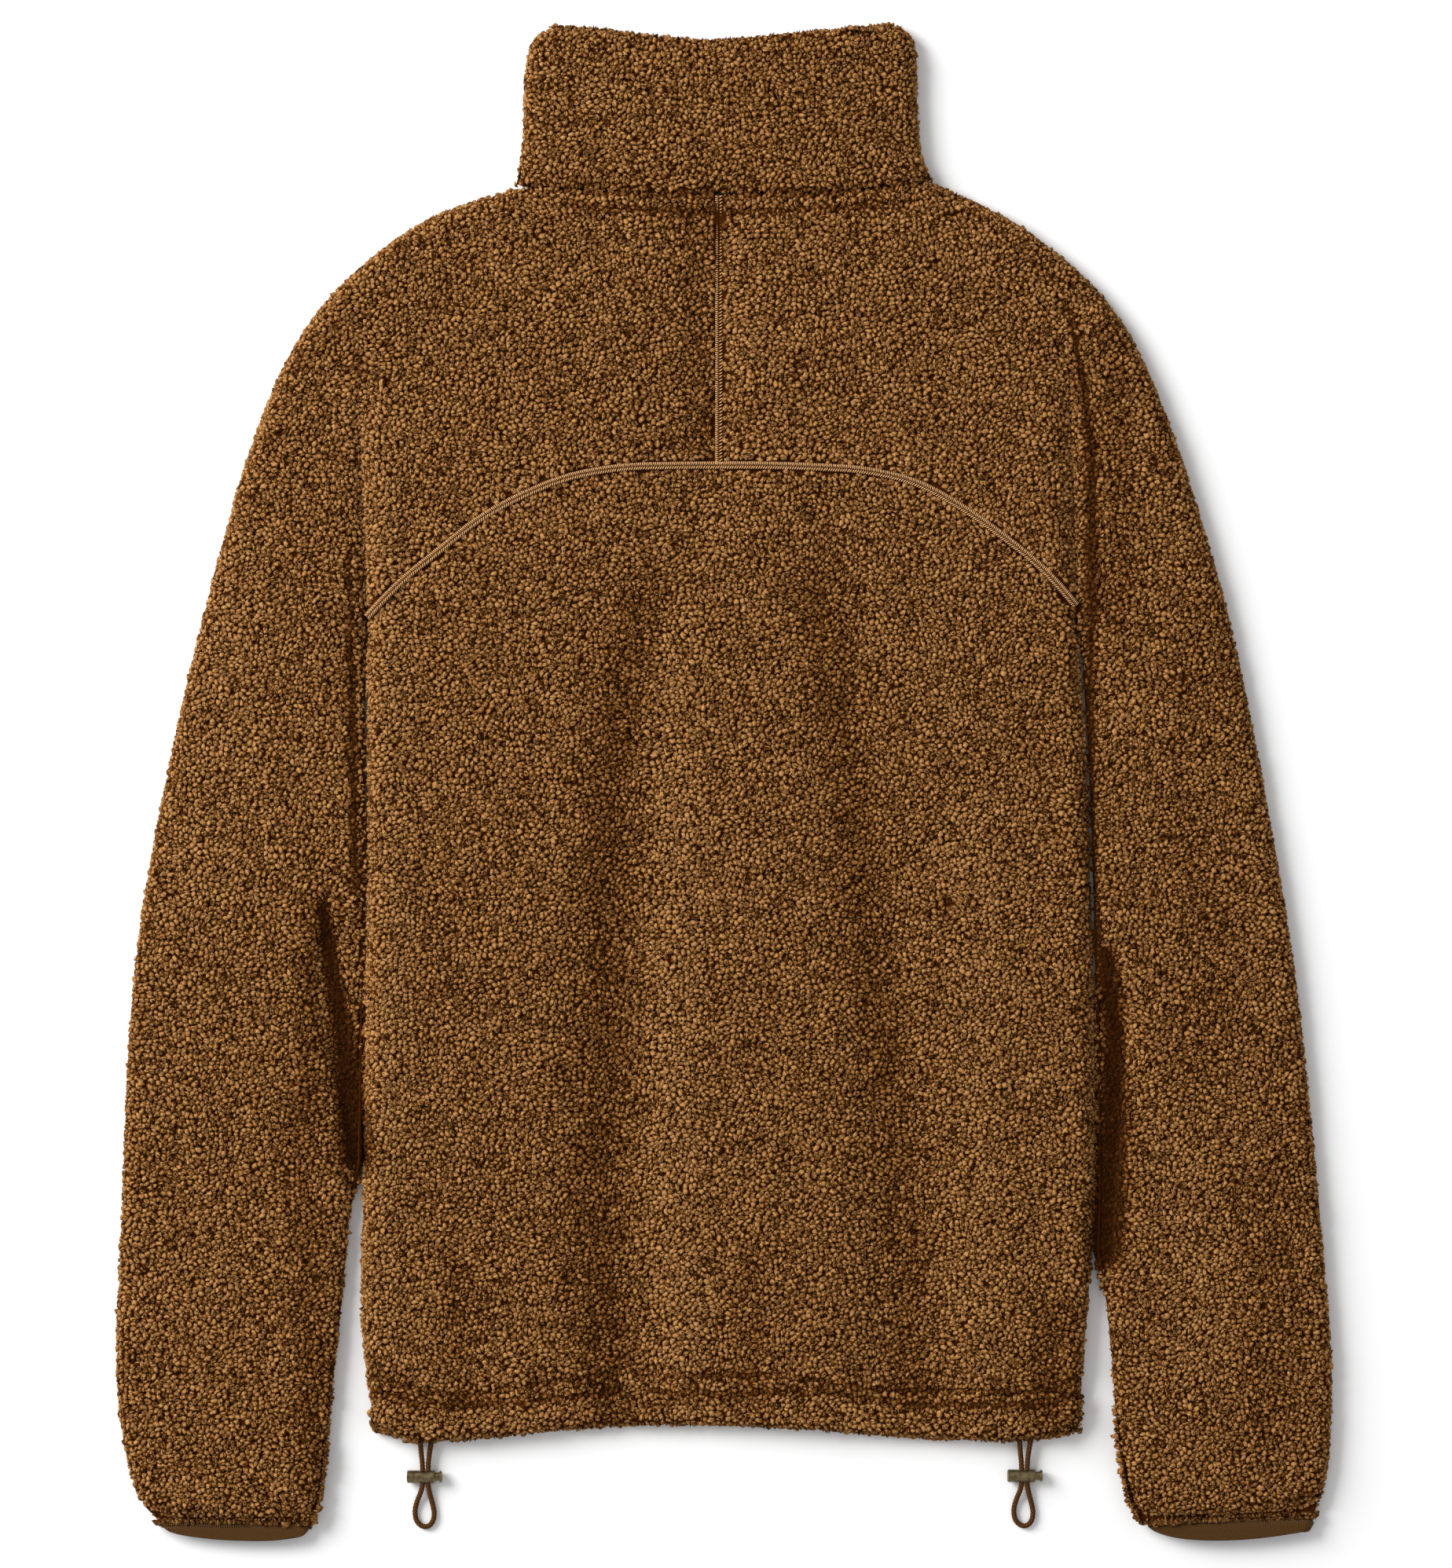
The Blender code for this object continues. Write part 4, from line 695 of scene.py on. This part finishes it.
GROUND_LEVELS = 1               # times that a panel's faces are divided
FACES_DOWN = -0.6               # normals lower than this lie on the table
TURN_UNDER = (1.6, 0.6)         # the pressed depth comes in over this slope of the normal
for node in FLEECE:
    mesh = finer(walls[node], node, GROUND_LEVELS)
    points, normals = mesh_arrays(mesh)
    below = np.clip(-normals[:, 2] * TURN_UNDER[0] - TURN_UNDER[1], 0.0, 1.0)
    sink = GROUND_DEPTH + (GROUND_DEPTH_BELOW - GROUND_DEPTH) * below
    points = points - normals * (sink + pressed_in(points, normals))[:, None]
    mesh.vertices.foreach_set("co", points.ravel())
    mesh.materials.clear()
    mesh.materials.append(ground)
    mesh.name = node + "_ground"
    shell = bpy.data.objects.new(node + "_ground", mesh)
    bpy.context.scene.collection.objects.link(shell)
    thick = shell.modifiers.new("thickness", "SOLIDIFY")
    thick.thickness = GROUND_THICKNESS
    thick.offset = -1.0
    mesh.calc_loop_triangles()
    triangles = np.zeros(len(mesh.loop_triangles) * 3, int)
    mesh.loop_triangles.foreach_get("vertices", triangles)
    triangles = triangles.reshape(-1, 3)
    facing_down = normals[triangles].mean(axis=1)[:, 2] < FACES_DOWN
    grown = []
    for suffix, part, spacing in (("pile", triangles[~facing_down], TUFT_SPACING),
                                  ("pressed_pile", triangles[facing_down], TUFT_SPACING_BELOW)):
        if not len(part):
            continue
        places, facing = spread_over(points, normals, part, spacing, rng)
        on_top = places[:, 2] > MID_HEIGHT
        for line in (arch, centre_seam):
            clear = ~on_top | (off_line(line, places) > SEAM_WIDTH / 2.0 + SEAM_CLEAR)
            places, facing, on_top = places[clear], facing[clear], on_top[clear]
        fringe = np.zeros((0, 3))
        if suffix == "pile":
            fringe, outward = free_edge(mesh, node)
            places, facing = np.concatenate([places, fringe]), np.concatenate([facing, outward])
        size = 1.0 - CREVICE_FLAT * in_crevice(places)
        for line, half_width, _ in GROOVES:
            inside = np.exp(-(off_line(line, places) / half_width) ** 2)
            size -= GROOVE_FLAT * inside * (places[:, 2] > MID_HEIGHT)
        size = np.clip(size, LEAST_SIZE, 1.0)
        if len(fringe):
            size[-len(fringe):] = FRINGE_SIZE
        grown += grow_tufts(node + "_" + suffix, places, facing, size,
                            suffix != "pile", pile, rng)
    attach(shell, "jacket")
    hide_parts(node)
    for piece in grown:
        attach(piece, "jacket")

# ---- seams --------------------------------------------------------------------------
# Flat seams of the yoke: the two edges are butted, and sewn down with spun polyester
# thread in two rows that cover the join. They lie lower than the tips of the pile.
SEAM_HEIGHT = 1.5 * MM          # of the padded ridge under the threads
SEAM_SINK = 0.5 * MM            # of its top below the outer face of the cloth
THREAD = 0.65 * MM              # drawn a little coarser than the real 0.4 mm
THREAD_SIDES = 4
THREAD_GIRTH = (0.4, 1.0, 1.05, 1.0, 0.4)   # at five places along a stitch, ends sunk in
THREAD_WANDER = 0.05 * MM
RIDGE_SIDES = 10
RIDGE_STEP = 2.0 * MM
LAID_ROUND = 4.0 * MM           # the cloth is felt this far each side of a seam,
LAID_SMOOTH = 6                 # and the seam's heights are evened out this many times
FROM_ABOVE = 0.1                # height that the cloth is felt from
UP = np.array([0.0, 0.0, 1.0])


def laid_on(line, sink):
    """A line in plan, laid at a depth under the outer faces of the panels."""
    laid = []
    for x, y in line:
        hits = [tree.ray_cast((x, y + away, FROM_ABOVE), (0.0, 0.0, -1.0))[0]
                for tree in panel_trees for away in (0.0, LAID_ROUND, -LAID_ROUND)]
        found = [hit.z for hit in hits if hit is not None] or [laid[-1][2] + sink]
        laid.append((x, y, max(found) - sink))
    laid = np.array(laid)
    for _ in range(LAID_SMOOTH):
        laid[1:-1, 2] = (laid[:-2, 2] + laid[1:-1, 2] + laid[2:, 2]) / 3.0
    return laid


def even_steps(line, step):
    """Points at even steps along a line, and the unit directions along it there."""
    run = np.concatenate([[0.0], np.cumsum(np.linalg.norm(np.diff(line, axis=0), axis=1))])
    at = np.arange(step / 2.0, run[-1], step)
    points = np.stack([np.interp(at, run, line[:, k]) for k in range(3)], axis=1)
    return points, unit(np.gradient(points, axis=0))


def ridge(name, line, width, height, material):
    """A low padded ridge that follows a line."""
    points, along = even_steps(line, RIDGE_STEP)
    across = unit(np.cross(along, UP))
    turns = np.arange(RIDGE_SIDES) * math.pi / (RIDGE_SIDES / 2.0)
    section = np.stack([np.cos(turns) * width / 2.0, np.sin(turns) * height], axis=1)
    body = points[:, None] + across[:, None] * section[:, :1] + UP * section[:, 1:]
    return make_piece(name, body.reshape(-1, 3), tube_faces(len(points), RIDGE_SIDES), material)


def stitched(name, line, rows, material):
    """Rows of short threads across a line: (offset, width, slant, pitch, rise) for each."""
    points, faces = [], []
    for offset, width, slant, pitch, rise in rows:
        at, along = even_steps(line, pitch)
        across = unit(np.cross(along, UP))
        for place, forward, side in zip(at, along, across):
            share = np.linspace(-0.5, 0.5, len(THREAD_GIRTH))[:, None]
            wander = rng.normal(0.0, THREAD_WANDER, 2)
            route = (place + side * (offset + width * share + wander[0])
                     + forward * (slant * share + wander[1])
                     + UP * rise * (1.0 - 4.0 * share ** 2))
            sideways, outward = ring_frames(route)
            turns = (np.arange(THREAD_SIDES) + 0.5) * 2.0 * math.pi / THREAD_SIDES
            girth = THREAD / 2.0 * np.array(THREAD_GIRTH)[:, None]
            rings = (route[:, None] + sideways[:, None] * (np.cos(turns) * girth)[..., None]
                     + outward[:, None] * (np.sin(turns) * girth)[..., None])
            start = len(points)
            points += rings.reshape(-1, 3).tolist()
            faces += [tuple(start + i for i in face)
                      for face in tube_faces(len(THREAD_GIRTH), THREAD_SIDES)]
    return make_piece(name, points, faces, material)


# Spun polyester thread: tan, softly shining, lighter than the pile.
thread, _ = start_material("spun polyester thread", Base_Color=linear("#d3a066"),
                           Roughness=0.62, Sheen_Weight=0.15)
# Brushed edges of the fleece under the threads: matt, dark brown as the pile's roots.
filling, _ = start_material("brushed seam edges", Base_Color=linear("#4b2b10"), Roughness=0.95,
                            Specular_Tint=linear("#9a6a30"))

panel_trees = [BVHTree.FromBMesh(wall) for wall in walls.values()]
arch_seam = laid_on(arch[:, :2], SEAM_SINK)
back_seam = laid_on(centre_seam, SEAM_SINK)
SEAMS = (                       # rows: offset, width, slant, pitch and rise of the threads
    ("arch_seam", arch_seam,
     ((-1.05 * MM, 2.1 * MM, 0.5 * MM, 1.05 * MM, 0.7 * MM),
      (1.15 * MM, 1.9 * MM, -1.3 * MM, 1.35 * MM, 0.9 * MM))),
    ("centre_back_seam", back_seam,
     ((1.1 * MM, 1.9 * MM, 1.2 * MM, 1.8 * MM, 0.8 * MM),
      (-1.15 * MM, 1.9 * MM, -0.5 * MM, 1.15 * MM, 0.9 * MM))))
for name, line, rows in SEAMS:
    seam_line = line - [0.0, 0.0, SEAM_HEIGHT]
    parts = [ridge(name + "_ridge", seam_line, SEAM_WIDTH, SEAM_HEIGHT, filling),
             stitched(name + "_threads", line, rows, thread)]
    for part in parts:
        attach(part, "jacket")

# ---- cuff bindings ------------------------------------------------------------------
# Twill tape folded over the raw end of each sleeve. Its ribs slant one way above the
# middle of its width and the other way below, and meet there in a row of points.
RIB_PITCH = 1.3 * MM
RIB_RELIEF = 0.4 * MM
BINDING_THICKNESS = 0.9 * MM
BINDING_SINK = 0.05 * MM        # of the tape's face into the solid's
BINDING_LEVELS = 3              # times that its faces are divided
RIM_KEPT = -415.9 * MM          # the rim beyond this keeps its corners
COLUMN = 4.0 * MM               # the tape's middle is found for each such stretch

# Woven cotton twill: dark brown ribs, dull like the pile's roots; the gaps are painted almost
# black as painted shade, and the whole tape is made darker as painted shade under the overhanging
# pile.
twill, shader = start_material("herringbone twill tape", Roughness=0.9, Sheen_Weight=0.1,
                               Specular_Tint=linear("#9a6a30"))
along = add_node(twill, "ShaderNodeAttribute", {"attribute_name": "along"}).outputs["Fac"]
across = add_node(twill, "ShaderNodeAttribute", {"attribute_name": "across"}).outputs["Fac"]
turned = add_node(twill, "ShaderNodeMath", {"operation": "ABSOLUTE"}, {0: across})
lying = add_node(twill, "ShaderNodeMath", {"operation": "ADD"}, {0: along, 1: turned.outputs[0]})
phase = add_node(twill, "ShaderNodeMath", {"operation": "MULTIPLY"},
                 {0: lying.outputs[0], 1: 2.0 * math.pi / (RIB_PITCH / MM)})
rib = add_node(twill, "ShaderNodeMath", {"operation": "SINE"}, {0: phase.outputs[0]})
height = add_node(twill, "ShaderNodeMapRange", inputs={"Value": rib.outputs[0], "From Min": -1.0})
# Painted shade: the colour follows the ribs' height, darkest in the gaps
tone = add_node(twill, "ShaderNodeValToRGB", inputs={"Fac": height.outputs[0]})
set_ramp(tone, ((0.0, "#1c0d02"), (0.5, "#40290f"), (1.0, "#6b4a26")))
twill.node_tree.links.new(tone.outputs["Color"], shader.inputs["Base Color"])
bump = add_node(twill, "ShaderNodeBump", inputs={
    "Height": height.outputs[0], "Strength": 0.7, "Distance": RIB_RELIEF})
twill.node_tree.links.new(bump.outputs["Normal"], shader.inputs["Normal"])

for side in SIDES:
    node = "cuff_binding_" + side
    mesh = finer(outer_face(node), node + "_tape", BINDING_LEVELS, RIM_KEPT)
    points, normals = mesh_arrays(mesh)
    points = points - normals * BINDING_SINK
    columns = np.round(points[:, 0] / COLUMN).astype(int)
    middle = np.zeros(len(points))
    for column in set(columns.tolist()):
        there = np.abs(columns - column) <= 1
        ys = points[there, 1]
        middle[columns == column] = (ys.max() + ys.min()) / 2.0
    mesh.vertices.foreach_set("co", points.ravel())
    for name, values in (("along", points[:, 0]), ("across", points[:, 1] - middle)):
        layer = mesh.attributes.new(name, "FLOAT", "POINT")
        layer.data.foreach_set("value", values / MM)
    mesh.materials.clear()
    mesh.materials.append(twill)
    mesh.shade_smooth()
    tape = bpy.data.objects.new(node + "_tape", mesh)
    bpy.context.scene.collection.objects.link(tape)
    thick = tape.modifiers.new("thickness", "SOLIDIFY")
    thick.thickness = BINDING_THICKNESS
    thick.offset = -1.0
    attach(tape, "jacket")
    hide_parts(node)

# ---- zip ----------------------------------------------------------------------------
# Moulded-tooth zip of the front, which is underneath: woven polyester tapes, teeth of
# acetal resin, and a slider and pull tab of plated zinc at the collar.
TOOTH_PITCH = 2.6 * MM
TOOTH_SIZE = (2.3 * MM, 1.5 * MM, 1.9 * MM)
TOOTH_STAGGER = 0.5 * MM        # of each side's teeth from the middle of the zip
TOOTH_TAPER = 0.8               # of its length in y, and of its height on the tape's side
TEETH_START = 4.0 * MM          # from the tapes' lower end
TEETH_STOP = 1.0 * MM           # before the slider
WEAVE_PITCH = 0.9 * MM          # of the cross ribs
WEAVE_RELIEF = 0.15 * MM

# Woven polyester: fine cross ribs, matt and dark brown.
webbing, shader = start_material("woven polyester tape", Roughness=0.85)
where = add_node(webbing, "ShaderNodeTexCoord").outputs["Object"]
weave = add_node(webbing, "ShaderNodeTexWave", {"bands_direction": "Y"},
                 {"Vector": where, "Scale": 2.0 * math.pi / (20.0 * WEAVE_PITCH)})
tone = add_node(webbing, "ShaderNodeValToRGB", inputs={"Fac": weave.outputs["Fac"]})
set_ramp(tone, ((0.0, "#22130a"), (1.0, "#4b301a")))
webbing.node_tree.links.new(tone.outputs["Color"], shader.inputs["Base Color"])
bump = add_node(webbing, "ShaderNodeBump", inputs={
    "Height": weave.outputs["Fac"], "Strength": 0.5, "Distance": WEAVE_RELIEF})
webbing.node_tree.links.new(bump.outputs["Normal"], shader.inputs["Normal"])

# Moulded acetal: smooth dark brown resin with a low shine.
resin, _ = start_material("moulded acetal resin", Base_Color=linear("#2f1c0f"),
                          Roughness=0.42, IOR=1.48)

for side in SIDES:
    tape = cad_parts["zip_tape_" + side]
    tape.data.materials.clear()
    tape.data.materials.append(webbing)
tape_low, tape_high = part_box("zip_tape_left")
zip_x = (tape_high.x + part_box("zip_tape_right")[0].x) / 2.0
slider_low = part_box("zip_slider")[0].y
tooth_z = (tape_low.z + tape_high.z) / 2.0
rows = np.arange(tape_low.y + TEETH_START, slider_low - TEETH_STOP, TOOTH_PITCH / 2.0)
points, faces = [], []
for i, y in enumerate(rows):
    way = 1.0 if i % 2 else -1.0
    x = zip_x + way * TOOTH_STAGGER
    start = len(points)
    for sx, sy, sz in ((-1, -1, -1), (1, -1, -1), (1, 1, -1), (-1, 1, -1),
                       (-1, -1, 1), (1, -1, 1), (1, 1, 1), (-1, 1, 1)):
        narrower = TOOTH_TAPER if sx * way < 0.0 else 1.0
        points.append((x + sx * TOOTH_SIZE[0] / 2.0,
                       y + sy * TOOTH_SIZE[1] / 2.0 * TOOTH_TAPER,
                       tooth_z + sz * TOOTH_SIZE[2] / 2.0 * narrower))
    faces += [tuple(start + k for k in face) for face in (
        (3, 2, 1, 0), (4, 5, 6, 7), (0, 1, 5, 4), (1, 2, 6, 5), (2, 3, 7, 6), (3, 0, 4, 7))]
teeth = make_piece("zip_teeth", points, faces, resin, smooth=False)
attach(teeth, "jacket")

# ---- slider, pull tab and cord locks ------------------------------------------------
# Die-cast zinc with an aged brass plating. Each lock is a short barrel with a
# spring-loaded plunger in its end, and the cord runs through both.
BREAK = 0.22 * MM               # rounding of the cast edges
SHARP = math.radians(35.0)
WEAR = 2.5 * MM                 # across the rubbed patches

# Aged brass plating: olive brown, rubbed lighter, with a broad soft shine.
plating, shader = start_material("antique brass plating", Metallic=1.0, Roughness=0.36)
where = add_node(plating, "ShaderNodeTexCoord").outputs["Object"]
wear = add_node(plating, "ShaderNodeTexNoise", inputs={
    "Vector": where, "Scale": 1.0 / WEAR, "Detail": 3.0})
tone = add_node(plating, "ShaderNodeValToRGB", inputs={"Fac": wear.outputs["Fac"]})
set_ramp(tone, ((0.3, "#5d5038"), (0.7, "#8f8160")))
plating.node_tree.links.new(tone.outputs["Color"], shader.inputs["Base Color"])
for node in ("zip_slider", "zip_pull_tab", "cord_lock_barrel_left", "cord_lock_barrel_right",
             "cord_lock_plunger_left", "cord_lock_plunger_right"):
    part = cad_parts[node]
    part.data.materials.clear()
    part.data.materials.append(plating)
    part.data.shade_smooth()
    part.data.set_sharp_from_angle(angle=SHARP)
    rounding = part.modifiers.new("broken edges", "BEVEL")
    rounding.width = BREAK
    rounding.segments = 2
    rounding.limit_method = "ANGLE"
    rounding.angle_limit = SHARP

# ---- floor and light ----------------------------------------------------------------
# A plain pale table top, a large soft lamp from the upper left and a pale room.
FLOOR_HALF = 3.0
FLOOR_SINK = 0.2 * MM           # below the jacket, so that the two don't share a plane
LAMP_SIDE = 3.0
LAMP_POWER = 380.0
LAMP_PLACE = (-3.7, 2.1, 2.5)
ROOM_LIGHT = 0.58

# Matt white paint: pale, with no shine.
floor_finish, _ = start_material("pale painted board", Base_Color=linear("#f2f2f2"),
                                 Roughness=0.9)
floor = make_piece("floor", [(x * FLOOR_HALF, y * FLOOR_HALF, 0.0)
                             for x, y in ((-1, -1), (1, -1), (1, 1), (-1, 1))],
                   [(0, 1, 2, 3)], floor_finish, smooth=False)
floor.location.z = -FLOOR_SINK
lamp_data = bpy.data.lights.new("softbox", "AREA")
lamp_data.shape = "RECTANGLE"
lamp_data.size, lamp_data.size_y = LAMP_SIDE, LAMP_SIDE
lamp_data.energy = LAMP_POWER
lamp = bpy.data.objects.new("softbox", lamp_data)
lamp.location = LAMP_PLACE
lamp.rotation_euler = (Vector((0.0, 0.0, 0.0)) - lamp.location).to_track_quat("-Z", "Y").to_euler()
bpy.context.scene.collection.objects.link(lamp)
world = bpy.data.worlds.new("pale room")
world.use_nodes = True
air = world.node_tree.nodes["Background"]
air.inputs["Color"].default_value = (1.0, 1.0, 1.0, 1.0)
air.inputs["Strength"].default_value = ROOM_LIGHT
bpy.context.scene.world = world
bpy.context.scene.view_settings.view_transform = "Standard"
